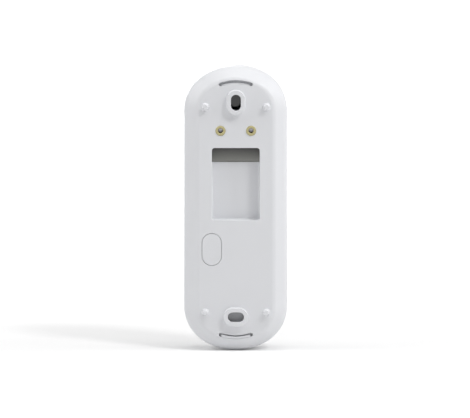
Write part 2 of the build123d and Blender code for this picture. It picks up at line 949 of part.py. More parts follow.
def button_board():
    size = (button_board_width, button_board_height)
    board = block(*size, button_board_rear, switch_rear_depth, 0, button_z, 1.0)
    for x in (-button_screw_x, button_screw_x):
        hole = small_screw_radius + hole_gap
        board -= disc(hole, button_board_rear, switch_rear_depth, x, button_z)
    return board


def ring_leds():
    far = switch_rear_depth + led_height
    return Compound([block(led_size, led_size, switch_rear_depth, far, x, z) for x, z in legs()])


def switch_body():
    body = block(switch_size, switch_size, switch_rear_depth, switch_front_depth, 0, button_z, 0.5)
    bottom = switch_front_depth - plunger_inside - button_travel - switch_stroke_room
    return body - disc(plunger_radius + plunger_gap, bottom, switch_front_depth, 0, button_z)


def button_ribbon():
    """A folded strip: one foot on each board and a straight run between them."""
    top = button_z - ribbon_drop
    near = board_front_depth
    far = button_board_rear
    foot = (ribbon_width, ribbon_foot)
    strip = block(*foot, near, near + ribbon_thickness, 0, top - ribbon_foot / 2)
    strip += block(*foot, far - ribbon_thickness, far, 0, top - ribbon_foot / 2)
    return strip + block(ribbon_width, ribbon_thickness, near, far, 0, top)


def stem_seal():
    bore = stem_radius + stem_gap
    near = frame_inside_depth
    far = frame_front_depth
    seal = tube(bore + stem_seal_wall, bore, near, far, 0, button_z)
    return seal + tube(bore + 2 * stem_seal_wall, bore, far, far + stem_seal_lip, 0, button_z)


def button_light_ring():
    bore = button_radius + button_gap
    wide_bore = button_radius + button_flange + button_side_gap
    ring = tube(light_ring_radius, wide_bore, frame_front_depth, light_ring_step, 0, button_z)
    ring += tube(light_ring_radius, bore, light_ring_step, light_ring_far, 0, button_z)
    for x, z in legs():
        leg_near = switch_rear_depth + led_height + light_leg_air
        ring += disc(light_leg_radius, leg_near, frame_front_depth, x, z)
    return ring


# ---- the moving pieces ----


def button_cap():
    cap = disc(button_radius + button_flange, flange_near, flange_far, 0, button_z)
    cap += disc(button_radius, flange_far, button_far, 0, button_z)
    return cap + disc(stem_radius, stem_end_depth, flange_near, 0, button_z)


def switch_plunger():
    near = switch_front_depth - plunger_inside
    return disc(plunger_radius, near, stem_end_depth, 0, button_z)


def fascia_outline(grow):
    """The inlay's outline: the top of a smaller pill, cut off straight below."""
    bottom = camera_z - fascia_below_camera - grow
    tall = half_height - bottom
    cut = Pos(0, bottom + tall / 2) * Rectangle(body_width, tall)
    outline = body_face(fascia_inset - grow) & cut
    return fillet(outline.vertices().group_by(Axis.Y)[0], fascia_corner)


def fascia():
    plate = slab(fascia_outline(0), fascia_back_depth, body_depth)
    plate += block(top_post_width, top_post_height, top_post_depth, fascia_back_depth, 0, top_post_z)
    hole = turret_radius + camera_clearance
    return plate - disc(hole, fascia_back_depth, body_depth, 0, camera_z)


def tongue():
    """The curved tongue at the cover's top, with the two ribs that tie it to the end wall."""
    strip = arc_outline(arc_slot_width - 2 * tongue_gap, arc_slot_chord - 2 * tongue_gap)
    blade = slab(strip, tongue_depth, cover_inside_depth)
    rib_top = half_height - cover_wall / 2
    rib_middle = (arc_slot_z + rib_top) / 2
    for x in (-tongue_rib_spacing / 2, tongue_rib_spacing / 2):
        near = lip_depth + tongue_rib_rise
        rib = block(tongue_rib_width, rib_top - arc_slot_z, near, cover_inside_depth, x, rib_middle)
        blade += rib & slab(body_face(cover_wall / 2), near, cover_inside_depth)
    return blade


def front_cover():
    shell = slab(body_face(), parting_depth + parting_gap, body_depth)
    shell = fillet(shell.faces().sort_by(Axis.Y)[0].edges(), front_edge_radius)
    room = slab(body_face(cover_wall), parting_depth + parting_gap, cover_inside_depth)
    room = fillet(room.faces().sort_by(Axis.Y)[0].edges(), front_edge_radius - cover_wall)
    cover = shell - room
    for blade in both_ends(tongue()):
        cover += blade
    post = (bottom_post_width, bottom_post_height)
    cover += block(*post, bottom_post_depth, cover_inside_depth, 0, -slot_z)
    cover -= slab(fascia_outline(fascia_gap), fascia_back_depth, body_depth)
    window = (top_post_width + 2 * post_window_gap, top_post_height + 2 * post_window_gap)
    cover -= block(*window, cover_inside_depth, fascia_back_depth, 0, top_post_z)
    cover -= disc(turret_radius + camera_clearance, cover_inside_depth, fascia_back_depth, 0, camera_z)
    cover -= disc(light_ring_radius + cover_hole_gap, cover_inside_depth, body_depth, 0, button_z)
    for x, z in grille():
        cover -= disc(grille_hole_radius, cover_inside_depth, body_depth, x, z)
    return cover - disc(mic_hole_radius, cover_inside_depth, body_depth, mic_x, speaker_z + mic_rise)


pieces = (
    rear_housing,
    well_plate,
    terminal_inserts,
    terminal_straps,
    inner_frame,
    frame_screws,
    housing_seal,
    main_board,
    board_screws,
    module_screws,
    processor_shield,
    power_inductor,
    power_capacitors,
    wifi_antenna,
    microphone,
    mic_boot,
    usb_port,
    reset_switch,
    reset_plunger,
    service_plug,
    backup_cell,
    cell_pad,
    sensor_board,
    camera_connector,
    image_sensor,
    lens_holder,
    infrared_filter,
    lens_barrel,
    lens_elements,
    infrared_board,
    infrared_leds,
    light_sensor,
    camera_window,
    camera_bezel,
    speaker_frame,
    speaker_magnet,
    speaker_cone,
    speaker_seal,
    speaker_mesh,
    speaker_contacts,
    button_board,
    ring_leds,
    switch_body,
    switch_plunger,
    button_ribbon,
    stem_seal,
    button_light_ring,
    button_cap,
    front_cover,
    fascia,
)

os.makedirs("parts", exist_ok=True)
for piece in pieces:
    export_step(piece(), f"parts/{piece.__name__}.step")
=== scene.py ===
import json
from math import asin, atan2, ceil, cos, degrees, pi, radians, sin, sqrt
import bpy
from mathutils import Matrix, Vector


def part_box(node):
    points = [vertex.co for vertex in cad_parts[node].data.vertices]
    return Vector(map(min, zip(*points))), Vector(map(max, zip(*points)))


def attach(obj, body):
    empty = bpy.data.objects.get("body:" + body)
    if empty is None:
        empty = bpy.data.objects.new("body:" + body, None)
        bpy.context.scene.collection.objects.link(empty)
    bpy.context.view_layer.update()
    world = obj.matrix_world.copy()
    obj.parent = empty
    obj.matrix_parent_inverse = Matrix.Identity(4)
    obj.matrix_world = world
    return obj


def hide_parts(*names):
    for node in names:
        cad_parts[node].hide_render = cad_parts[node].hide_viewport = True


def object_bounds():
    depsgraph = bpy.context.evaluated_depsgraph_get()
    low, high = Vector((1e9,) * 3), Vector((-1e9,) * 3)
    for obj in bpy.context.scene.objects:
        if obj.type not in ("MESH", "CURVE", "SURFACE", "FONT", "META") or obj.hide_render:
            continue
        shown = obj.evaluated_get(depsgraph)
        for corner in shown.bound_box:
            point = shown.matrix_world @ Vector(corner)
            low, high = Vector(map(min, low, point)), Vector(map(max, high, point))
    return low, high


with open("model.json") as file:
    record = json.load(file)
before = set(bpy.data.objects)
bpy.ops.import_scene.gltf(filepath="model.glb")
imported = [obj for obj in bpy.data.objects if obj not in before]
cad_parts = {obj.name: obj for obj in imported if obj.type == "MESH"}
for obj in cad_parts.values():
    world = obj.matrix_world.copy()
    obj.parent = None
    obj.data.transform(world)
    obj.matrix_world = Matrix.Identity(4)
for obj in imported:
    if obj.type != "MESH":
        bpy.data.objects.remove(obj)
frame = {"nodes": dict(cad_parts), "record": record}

from types import SimpleNamespace

import bmesh
import bpy
from mathutils import Vector

cad_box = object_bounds()

bl_info = {
    "name": "Video Doorbell",
    "version": (1, 0, 0),
    "blender": (4, 5, 0),
    "location": "View3D > Sidebar > Doorbell",
    "description": "Models a wall-mounted video doorbell piece by piece, with its finishes and a plain studio",
    "category": "Object",
}

MM = 0.001  # drawing is in millimetres: across, depth out from the wall, and up


# ---- sizes and colours that a user would change ----


def linear(hex_colour):
    """An sRGB hex colour as linear red, green and blue."""
    parts = [int(hex_colour[i : i + 2], 16) / 255 for i in (1, 3, 5)]
    return tuple(c / 12.92 if c <= 0.04045 else ((c + 0.055) / 1.055) ** 2.4 for c in parts)


def amount(name, description, value, **settings):
    """A number property that can't go below zero."""
    return bpy.props.FloatProperty(name=name, description=description, default=value, min=0.0, **settings)


def length(name, description, millimetres):
    """A length property with its default in millimetres."""
    return amount(name, description, millimetres * MM, unit="LENGTH", subtype="DISTANCE")


def colour(name, description, hex_colour):
    """A colour property with its default as an sRGB hex colour."""
    return bpy.props.FloatVectorProperty(
        name=name, description=description, default=linear(hex_colour), min=0.0, max=1.0, subtype="COLOR"
    )


def middle(node):
    """The middle of a part, in millimetres across and up."""
    low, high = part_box(node)
    return (low.x + high.x) / 2 / MM, (low.z + high.z) / 2 / MM


def reach(node):
    """How near the wall a part comes and how far it stands out, in millimetres."""
    low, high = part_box(node)
    return -high.y / MM, -low.y / MM


body_low, body_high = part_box("front_cover")


class DoorbellSizes(bpy.types.PropertyGroup):
    """Sizes of the doorbell's outside"""

    width: length("Width", "Across the widest part", (body_high.x - body_low.x) / MM)
    height: length("Height", "From the lowest to the highest point", (body_high.z - body_low.z) / MM)
    depth: length("Depth", "From the wall to the front face", -body_low.y / MM)
    end_radius: length("End radius", "Radius of the wide arcs over the top and under the bottom", 27.6)
    corner_radius: length("Corner radius", "Radius of the tighter arcs beside them", 18.7)
    standoff: length("Standoff", "How far the bosses and pegs hold the back panel off the wall", 2.5)
    panel_crease: length("Panel crease", "Softness of the edge between the back panel and its bevel", 1.25)
    front_edge: length("Front edge", "Radius of the rounded edge round the front", 3.5)
    slot_width: length("Slot width", "Width of the wall screw slots", 4.4)
    slot_length: length("Slot length", "Length of the wall screw slots", 7.2)
    slot_height: length("Slot height", "How far each slot's middle is above or below the body's", 48.0)
    pocket_width: length("Pocket width", "Width of the wire pocket", 21.3)
    pocket_height: length("Pocket height", "Height of the wire pocket", 32.4)
    pocket_sink: length("Pocket depth", "How deep the wire pocket is below the panel", 5.5)
    well_height: length("Well height", "Height of the deep well at the pocket's top", 6.8)
    button_radius: length("Button radius", "Radius of the pressed face", 8.65)
    ring_radius: length("Light ring radius", "Radius of the light ring round the button", 10.4)


def in_millimetres(context):
    """The doorbell's sizes as plain numbers in millimetres."""
    sizes = context.scene.doorbell_sizes
    return SimpleNamespace(**{name: getattr(sizes, name) / MM for name in DoorbellSizes.__annotations__})


class DoorbellColours(bpy.types.PropertyGroup):
    """Colours of the finishes that show"""

    shell: colour("Shell", "Moulded white of the housing and the cover", "#e4e5e8")
    button: colour("Button", "Moulded white of the button", "#e8e9eb")
    plug: colour("Plug", "White of the rubber service plug", "#e1e2e5")
    fascia: colour("Fascia", "Black of the glossy inlay", "#08090b")
    brass: colour("Brass", "Turned brass of the wire terminals", "#aea67e")
    light_guide: colour("Light ring", "Frosted acrylic of the light ring", "#f1f3f5")


class DoorbellStudio(bpy.types.PropertyGroup):
    """Light and floor of the studio"""

    top: amount("Top lamp", "Power of the wide lamp almost overhead", 4.5, unit="POWER")
    high: amount("High lamp", "Power of the lamp high behind one shoulder", 3.3, unit="POWER")
    sides: amount("Side lamps", "Power of each lamp that lights a flank", 4.0, unit="POWER")
    front: amount("Front lamp", "Power of the lamp that lights the visitor's side", 2.2, unit="POWER")
    ambient: amount("Ambient", "Strength of the even light from all round", 0.205)
    glow: amount("Floor glow", "Light that the eye alone gets from the floor near the doorbell", 0.12)
    floor: colour("Floor", "Matte paper under the doorbell", "#f2f2f2")


# ---- modelling by hand, in code ----


def at(x, depth, z):
    """A place given in millimetres across, out from the wall and up."""
    return Vector((x, -depth, z)) * MM


def depth_of(place):
    """How far out from the wall a place is, in millimetres."""
    return -place.y / MM


def deselect():
    """Leaves edit mode with nothing selected."""
    if bpy.context.mode != "OBJECT":
        bpy.ops.object.mode_set(mode="OBJECT")
    bpy.ops.object.select_all(action="DESELECT")


def choose(*pieces):
    """Selects these pieces alone, the first of them active."""
    deselect()
    for piece in pieces:
        piece.select_set(True)
    bpy.context.view_layer.objects.active = pieces[0]


def settle(name):
    """Names the new primitive, puts its place into its mesh and opens it for editing."""
    piece = bpy.context.object
    piece.name = piece.data.name = name
    bpy.ops.object.transform_apply()
    bpy.ops.object.mode_set(mode="EDIT")
    bpy.ops.mesh.select_all(action="SELECT")
    return piece


def merge_near(distance):
    """Merges all points that are this near each other, in millimetres."""
    bpy.ops.mesh.select_all(action="SELECT")
    bpy.ops.mesh.remove_doubles(threshold=distance * MM)


def face_outward():
    """Turns every face outward."""
    bpy.ops.mesh.select_all(action="SELECT")
    bpy.ops.mesh.normals_make_consistent(inside=False)


def first_point(name, place):
    """Starts a piece as one vertex."""
    deselect()
    bpy.ops.mesh.primitive_plane_add(size=MM, location=place)
    piece = settle(name)
    bpy.ops.mesh.select_mode(type="VERT")
    bpy.ops.mesh.merge(type="CENTER")
    return piece


def run_to(place):
    """Extrudes the last vertex to a place."""
    mesh = bmesh.from_edit_mesh(bpy.context.object.data)
    last = next(v.co.copy() for v in mesh.verts if v.select)
    bpy.ops.mesh.extrude_vertices_move(TRANSFORM_OT_translate={"value": place - last})


def draw(name, outline, depth):
    """Draws a flat outline of runs and arcs at one depth and fills it.
    A run is (x, z), and an arc is (centre x, centre z, degrees turned)."""
    start, path = outline
    piece = first_point(name, at(start[0], depth, start[1]))
    for step in path:
        if len(step) == 2:
            run_to(at(step[0], depth, step[1]))
        else:
            x, z, turn = step
            parts = max(4, ceil(abs(turn) / 3))
            bpy.ops.mesh.spin(steps=parts, angle=radians(turn), center=at(x, depth, z), axis=(0, 1, 0))
    merge_near(0.001)
    bpy.ops.mesh.edge_face_add()
    return piece


def round_outline(name, radius, depth, x, z, points):
    """A filled circle at one depth."""
    deselect()
    turn = (radians(90), 0, 0)
    bpy.ops.mesh.primitive_circle_add(
        vertices=points, radius=radius * MM, fill_type="NGON", location=at(x, depth, z), rotation=turn
    )
    return settle(name)


def pick(test, kind="faces"):
    """Selects the faces or edges that pass a test."""
    bpy.ops.mesh.select_mode(type={"faces": "FACE", "edges": "EDGE"}[kind])
    bpy.ops.mesh.select_all(action="DESELECT")
    mesh = bmesh.from_edit_mesh(bpy.context.object.data)
    for item in getattr(mesh, kind):
        if test(item):
            item.select_set(True)
    mesh.select_flush_mode()
    bmesh.update_edit_mesh(bpy.context.object.data)


def pick_end(depth):
    """Selects the many-sided end face at a depth."""
    pick(lambda face: len(face.verts) > 4 and all(abs(depth_of(v.co) - depth) < 0.001 for v in face.verts))


def step_face(steps):
    """Works the selected end face ring by ring. A step is (inward, along): in from the face's edge,
    and out along its normal, or into the piece where it is negative."""
    for inward, along in steps:
        if inward:
            bpy.ops.mesh.inset(thickness=inward * MM, depth=along * MM)
        else:
            mesh = bmesh.from_edit_mesh(bpy.context.object.data)
            normal = next(face.normal.copy() for face in mesh.faces if face.select)
            bpy.ops.mesh.extrude_region_move(TRANSFORM_OT_translate={"value": normal * along * MM})


def grow(piece, steps, toward):
    """Makes a filled outline a solid, ring by ring. Toward is 1 to grow at the visitor and -1 at the wall."""
    mesh = bmesh.from_edit_mesh(piece.data)
    start = depth_of(next(iter(mesh.verts)).co)
    rise = steps[0][1] * toward
    bpy.ops.mesh.extrude_region_move(TRANSFORM_OT_translate={"value": at(0, rise, 0)})
    face_outward()
    pick_end(start + rise)
    step_face(steps[1:])
    return piece


def rounding(radius, parts=6):
    """Steps that round an edge over."""
    turns = [radians(90 * i / parts) for i in range(parts + 1)]
    return [(radius * (cos(a) - cos(b)), radius * (sin(b) - sin(a))) for a, b in zip(turns, turns[1:])]


def flare(radius, parts=5):
    """Steps that sweep a wide mouth or foot in to its wall."""
    return [(along, inward) for inward, along in rounding(radius, parts)]


def stretch_up(factor):
    """Stretches what is selected upwards about the middle."""
    bpy.ops.transform.resize(value=(1, 1, factor), center_override=(0, 0, 0))


def soften(depth, width, parts):
    """Rounds the ring of edges at one depth."""
    pick(lambda edge: all(abs(depth_of(v.co) - depth) < 0.001 for v in edge.verts), "edges")
    bpy.ops.mesh.bevel(offset=width * MM, segments=parts, affect="EDGES")


def lathe(name, profile, x, z, parts):
    """Turns a profile of (radius, depth) points about an axis square to the wall."""
    piece = first_point(name, at(x + profile[0][0], profile[0][1], z))
    for radius, depth in profile[1:]:
        run_to(at(x + radius, depth, z))
    bpy.ops.mesh.select_all(action="SELECT")
    bpy.ops.mesh.spin(steps=parts, angle=2 * pi, center=at(x, 0, z), axis=(0, 1, 0))
    merge_near(0.001)
    face_outward()
    return piece


def bend(radius, depth, size):
    """Points of a lathe profile that round off an outer front corner."""
    turns = [radians(90 * i / 5) for i in range(6)]
    return [(radius - size + size * cos(t), depth - size + size * sin(t)) for t in turns]


def enlarge(factor, *pieces):
    """Scales whole pieces about the origin."""
    choose(*pieces)
    for piece in pieces:
        piece.scale = (factor, factor, factor)
    bpy.ops.object.transform_apply()


def boolean(target, others, operation):
    """Adds to or cuts from a piece with others that don't touch one another, and removes them.
    The cut is made with millimetres as units, since its faces can get lost at real size."""
    choose(*others)
    if len(others) > 1:
        bpy.ops.object.join()
    tool = bpy.context.object
    enlarge(1 / MM, target, tool)
    choose(target)
    bpy.ops.object.modifier_add(type="BOOLEAN")
    modifier = target.modifiers[-1]
    modifier.operation, modifier.solver, modifier.object = operation, "EXACT", tool
    bpy.ops.object.modifier_apply(modifier=modifier.name)
    choose(tool)
    bpy.ops.object.delete()
    enlarge(MM, target)


def copy_by(piece, name, across, up):
    """A copy with its own mesh, moved across and up."""
    choose(piece)
    bpy.ops.object.duplicate(linked=False)
    twin = bpy.context.object
    twin.name = twin.data.name = name
    bpy.ops.transform.translate(value=at(across, 0, up))
    bpy.ops.object.transform_apply()
    return twin


def complete(piece, body, slot, *nodes, sharp=35):
    """Shades a piece, gives it its slot's finish and puts it in place of the parts that it stands for."""
    choose(piece)
    bpy.ops.object.mode_set(mode="EDIT")
    merge_near(0.0005)
    face_outward()
    bpy.ops.object.mode_set(mode="OBJECT")
    bpy.ops.object.shade_smooth_by_angle(angle=radians(sharp))
    bpy.ops.object.modifier_add(type="WEIGHTED_NORMAL")
    piece.modifiers[-1].keep_sharp = True
    bpy.ops.object.modifier_apply(modifier=piece.modifiers[-1].name)
    piece.data.materials.clear()
    piece.data.materials.append(bpy.data.materials[bpy.context.scene["doorbell_finishes"][slot]])
    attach(piece, body)
    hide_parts(*nodes)


# ---- outlines ----


def over_the_top(size):
    """How high the body's straight sides reach, and the arcs over its top: a tight one at each corner and the wide
    one between them."""
    corner_x, end_z = size.width / 2 - size.corner_radius, size.height / 2 - size.end_radius
    corner_z = end_z + sqrt((size.end_radius - size.corner_radius) ** 2 - corner_x**2)
    lean = degrees(atan2(corner_z - end_z, corner_x))
    return corner_z, [(corner_x, corner_z, lean), (0, end_z, 180 - 2 * lean), (-corner_x, corner_z, lean)]


def body_outline(size):
    """The doorbell's outline: straight sides, and the same arcs over its top and under its bottom."""
    side = size.width / 2
    straight, arcs = over_the_top(size)
    under = [(-x, -z, turn) for x, z, turn in arcs]
    return (side, -straight), [(side, straight), *arcs, (-side, -straight), *under]


def inlay_outline(size, grown=0.0):
    """The black inlay's outline: the top of a narrower body, cut off straight below the camera."""
    side, corner, bottom = size.width / 2 - (inlay_margin - grown), 4.0 + grown, camera_z - below_camera - grown
    straight, arcs = over_the_top(size)
    lower_left = [(-side, bottom + corner), (corner - side, bottom + corner, 90)]
    lower_right = [(side - corner, bottom), (side - corner, bottom + corner, 90)]
    return (side, bottom + corner), [(side, straight), *arcs, *lower_left, *lower_right]


def rectangle(width, height, corner, x=0.0, z=0.0):
    """A rectangle with rounded corners."""
    right, left, top, bottom = x + width / 2, x - width / 2, z + height / 2, z - height / 2
    path = [
        (right, top - corner),
        (right - corner, top - corner, 90),
        (left + corner, top),
        (left + corner, top - corner, 90),
        (left, bottom + corner),
        (left + corner, bottom + corner, 90),
        (right - corner, bottom),
        (right - corner, bottom + corner, 90),
    ]
    return (right, bottom + corner), path


def oblong(width, height, x=0.0, z=0.0):
    """A slot with full round ends, upright or lying."""
    end, run = min(width, height) / 2, abs(width - height) / 2
    if height > width:
        return (x + end, z - run), [(x + end, z + run), (x, z + run, 180), (x - end, z - run), (x, z - run, 180)]
    return (x + run, z - end), [(x + run, z, 180), (x - run, z + end), (x - run, z, 180), (x + run, z - end)]


def curved_strip(width, chord, radius, z):
    """A round-ended strip that follows an arc over the top."""
    centre_z = z - radius
    sweep = degrees(asin(chord / 2 / radius))
    outer, turn = radius + width / 2, radians(90 - sweep)
    ends = [(side * radius * cos(turn), centre_z + radius * sin(turn)) for side in (-1, 1)]
    start = (outer * cos(turn), centre_z + outer * sin(turn))
    return start, [(0, centre_z, 2 * sweep), (*ends[0], 180), (0, centre_z, -2 * sweep), (*ends[1], 180)]


def both_ends(outline):
    """An outline at the top, and the same one mirrored to the bottom."""
    start, path = outline
    mirrored = [(p[0], -p[1]) if len(p) == 2 else (p[0], -p[1], -p[2]) for p in path]
    return outline, ((start[0], -start[1]), mirrored)


def slot_outlines(size, spread):
    """The wall screw slots, upright at the top and lying at the bottom, spread outward all round."""
    wide, tall, up = size.slot_width + 2 * spread, size.slot_length + 2 * spread, size.slot_height
    return oblong(wide, tall, 0, up), oblong(tall, wide, 0, -up)


def well_outline(size, inset):
    """The well's outline. Its upper corners follow the pocket's."""
    right, corner = size.pocket_width / 2 - inset, pocket_corner - inset
    top, bottom = top_of_pocket(size) - inset, top_of_pocket(size) - size.well_height + inset
    path = [
        (right, top - corner),
        (right - corner, top - corner, 90),
        (corner - right, top),
        (corner - right, top - corner, 90),
        (-right, bottom),
    ]
    return (right, bottom), path


# ---- pieces ----

parting = 9.0  # how deep the joint between the housing and the cover is
floor_depth = 4.5  # how deep the inside of the back panel is
cover_wall = 2.0
inlay_thickness = 1.2
inlay_margin = 4.2
below_camera = 12.0  # how far below the camera the inlay ends
post_z = 49.2
top_post_z = post_z - 0.35
camera_hole = 9.75
above = 0.3  # how far outside a face a cutter starts
first_ring = 0.29  # a flared cutter's first ring stops just short of that face, since a ring in its plane cuts badly
tool_start = 1.0  # a cutter for the back panel starts this deep, between the wall and the panel
pocket_corner, pocket_from_top = 1.2, 35.9
peg_places = [(i * 13.6, j * 46.0) for i in (-1, 1) for j in (-1, 1)]
terminal_radius = 2.25
terminal_x, terminal_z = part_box("terminal_inserts")[1].x / MM - terminal_radius, middle("terminal_inserts")[1]
camera_z = middle("camera_window")[1]
speaker_z = middle("speaker_mesh")[1]
button_z = middle("button_cap")[1]
plug_x, plug_z = middle("service_plug")
mic_x, mic_z = middle("mic_boot")
arc_z, arc_radius, arc_chord, arc_width = 57.15, 20.7, 13.4, 1.7


def wall_bosses(size):
    """The two raised rings round the screw slots, each with a filleted foot, drafted sides and a rounded rim."""
    wall, foot, draft, rim = 2.0, 0.12, 0.15, 0.15
    side = [(draft, size.standoff + 0.01 - foot - rim)]
    steps = [(0, floor_depth - 0.11 - size.standoff)] + flare(foot) + side + rounding(rim)
    return [grow(draw("boss", outline, floor_depth - 0.1), steps, -1) for outline in slot_outlines(size, wall + foot)]


def wall_pegs(size):
    """Four tapered pegs that hold the panel off the wall."""
    radius, draft, foot, tip = 1.7, 0.55, 0.2, 0.3
    side = [(draft, size.standoff + 0.01 - foot - tip)]
    steps = [(0, 2.89 - size.standoff)] + flare(foot) + side + rounding(tip)
    return [grow(round_outline("peg", radius + foot, 2.9, x, z, 40), steps, -1) for x, z in peg_places]


def inner_ribs(size):
    """What stands inside the housing: the seal's seat, the pocket's walls, terminal bosses and screw posts."""
    foot, edge = 3.0, (0.2, 0.2)
    seat_height, seat_width = 3.2, 1.4
    seat = draw("seal_seat", rectangle(38.6, 81.8, 3.9), floor_depth - 0.2)
    ribs = [grow(seat, [(0, seat_height), (seat_width, 0), (0, 0.1 - seat_height)], 1)]
    walls = draw("pocket_walls", rectangle(24.3, 35.4, 2.7, 0, middle_of_pocket(size)), foot)
    ribs.append(grow(walls, [(0, 6.1)] + rounding(0.4, 3), 1))
    for x in (-terminal_x, terminal_x):
        ribs.append(grow(round_outline("terminal_boss", 3.5, foot, x, terminal_z, 48), [(0, 4.3), edge], 1))
    for x, z in peg_places:
        ribs.append(grow(round_outline("screw_post", 3.0, foot, x, z, 48), [(0, 5.1), edge], 1))
    return ribs


def top_of_pocket(size):
    """How high the wire pocket's upper edge is."""
    return size.height / 2 - pocket_from_top


def middle_of_pocket(size):
    """How high the wire pocket's middle is."""
    return top_of_pocket(size) - size.pocket_height / 2


def panel_cutter(size, name, outline, mouth, steps):
    """A cutter for the back panel, with a flared mouth where it meets the panel."""
    through = [(0, size.standoff - 0.01 - tool_start)] + flare(mouth, 3) + steps
    return grow(draw(name, outline, tool_start), through, 1)


def back_cutters(size):
    """Everything that is cut into the back: slots, curved slots, wire pocket, terminal bores and the plug's seat."""
    mouth = 0.25
    steps = [(0, first_ring)] + flare(mouth) + [(0, floor_depth + 0.1 - mouth)]
    cutters = [grow(draw("slot_cut", outline, -above), steps, 1) for outline in slot_outlines(size, mouth)]
    mouth = 0.12
    for strip in both_ends(curved_strip(arc_width + 2 * mouth, arc_chord, arc_radius, arc_z)):
        cutters.append(panel_cutter(size, "curved_slot_cut", strip, mouth, [(0, 5.4 - mouth)]))
    seat, flange, hole = oblong(9.0 + 2 * mouth, 14.6 + 2 * mouth, plug_x, plug_z), 0.8, 0.9
    seat_steps = [(0, 1.2 - mouth), (flange, 0), (0, hole)]
    wide_mouth, fillet = 0.2, 0.7
    wide, tall = size.pocket_width + 2 * wide_mouth, size.pocket_height + 2 * wide_mouth
    pocket = rectangle(wide, tall, pocket_corner + wide_mouth, 0, middle_of_pocket(size))
    walls = [(0, size.pocket_sink - wide_mouth - fillet)] + rounding(fillet, 8)
    cutters.append(panel_cutter(size, "pocket_cut", pocket, wide_mouth, walls))
    for x in (-terminal_x, terminal_x):
        bore = round_outline("terminal_bore", terminal_radius, tool_start, x, terminal_z, 64)
        cutters.append(grow(bore, [(0, 6.6)], 1))
    for x, z in peg_places:
        cutters.append(grow(round_outline("pilot_hole", 1.2, 9.0, x, z, 32), [(0, 4.2)], -1))
    cutters.append(panel_cutter(size, "plug_seat", seat, mouth, seat_steps))
    return cutters


def model_rear_housing(size):
    """The housing, drawn at the parting line and grown to the panel one way and to the lip the other."""
    surface = size.standoff
    rim, crease = parting - 1.0, parting - 2.8  # where the rim ends and where the shoulder meets the wide bevel
    housing = draw("housing_back", body_outline(size), parting)
    grow(housing, [(0, 1.0), (1.1, 1.8), (4.75, crease - surface)], -1)
    stretch_up(58.6 / 57.65)  # the bevel is narrower over the top and under the bottom
    soften(surface, size.panel_crease, 8)
    soften(crease, 0.9, 5)
    soften(rim, 0.75, 5)
    soften(parting, 0.2, 2)
    pick_end(parting)
    seat, lip, lip_top, edge, inside = 1.8, 1.8, 0.8, 0.2, 3.0
    step_face([(seat, 0), (0, lip), (edge, edge), (lip_top, 0), (edge, -edge), (0, -inside), (3.85, -3.3)])
    stretch_up(57.4 / 56.45)
    boolean(housing, wall_bosses(size) + wall_pegs(size) + inner_ribs(size), "UNION")
    boolean(housing, back_cutters(size), "DIFFERENCE")
    boolean(housing, [grow(draw("well_cut", well_outline(size, 0.05), 5.0), [(0, 4.7)], 1)], "DIFFERENCE")
    return housing


def model_well_plate(size):
    """The plate behind the well, with a raised field that fills it almost to the pocket's floor."""
    near, far = reach("well_plate")
    lap, edge = 1.1, (0.1, 0.1)
    tall = size.well_height + 2 * lap
    outline = rectangle(size.pocket_width + 2 * lap, tall, pocket_corner, 0, top_of_pocket(size) + lap - tall / 2)
    plate = grow(draw("well_backing", outline, far), [(0, far - near - edge[1]), edge], -1)
    # the field stands almost flush with the pocket's floor; its finish paints the shade of a deep well
    field = grow(draw("well_field", well_outline(size, 0.1), near + 0.2), [(0, 1.35), (0.08, 0.08)], -1)
    boolean(plate, [field], "UNION")
    return plate


def model_terminal():
    """A brass insert with a chamfered mouth and a threaded bore."""
    near, far = reach("terminal_inserts")
    rim, bore, crest, pitch = 2.1, 1.08, 1.28, 0.5
    profile = [(rim, near), (terminal_radius, near + 0.15), (terminal_radius, far), (bore, far)]
    depth = far
    while depth - pitch > near + 0.35:
        profile += [(crest, depth - pitch / 2), (bore, depth - pitch)]
        depth -= pitch
    profile += [(bore, near + 0.2), (1.24, near + 0.03), (1.28, near), (rim, near)]
    return lathe("terminal_right", profile, terminal_x, terminal_z, 64)


def model_service_plug(size):
    """The oval rubber plug over the service port."""
    seat, wall, edge = size.standoff + 1.2, 1.05, 0.15
    plug = draw("service_plug_cover", oblong(8.6, 14.2, plug_x, plug_z), seat)
    grow(plug, [(0, wall)] + rounding(edge, 4), -1)
    pick_end(seat)
    step_face([(0.8, 0), (0, wall), (edge, edge)])
    return plug


def cover_tongues(size):
    """The two curved tongues that stand behind the housing's curved slots."""
    inside = size.depth - cover_wall
    steps = [(0, inside - 4.7 - 0.1)] + rounding(0.1, 2)
    strips = both_ends(curved_strip(1.5, arc_chord, arc_radius, arc_z))
    return [grow(draw("tongue", strip, inside + 0.1), steps, -1) for strip in strips]


def tongue_lips():
    """The lip on each tongue, against the lower edge of its slot, so a dark gap stays above it."""
    upper = curved_strip(0.35, arc_chord - 1.0, arc_radius - 0.62, arc_z - 0.62)
    lower = both_ends(curved_strip(1.05, arc_chord - 1.4, arc_radius + 0.28, arc_z + 0.28))[1]
    steps = [(0, 3.05)] + rounding(0.12, 2)
    return [grow(draw("tongue_lip", outline, 6.0), steps, -1) for outline in (upper, lower)]


def tongue_ribs(size):
    """Pairs of ribs that tie each tongue to the end wall."""
    start = 14.0
    rise = [(0, size.depth - cover_wall + 0.1 - start)]
    places = [(x, side * 59.7) for side in (-1, 1) for x in (-3.5, 3.5)]
    return [grow(draw("tongue_rib", rectangle(1.2, 5.0, 0.1, x, z), start), rise, 1) for x, z in places]


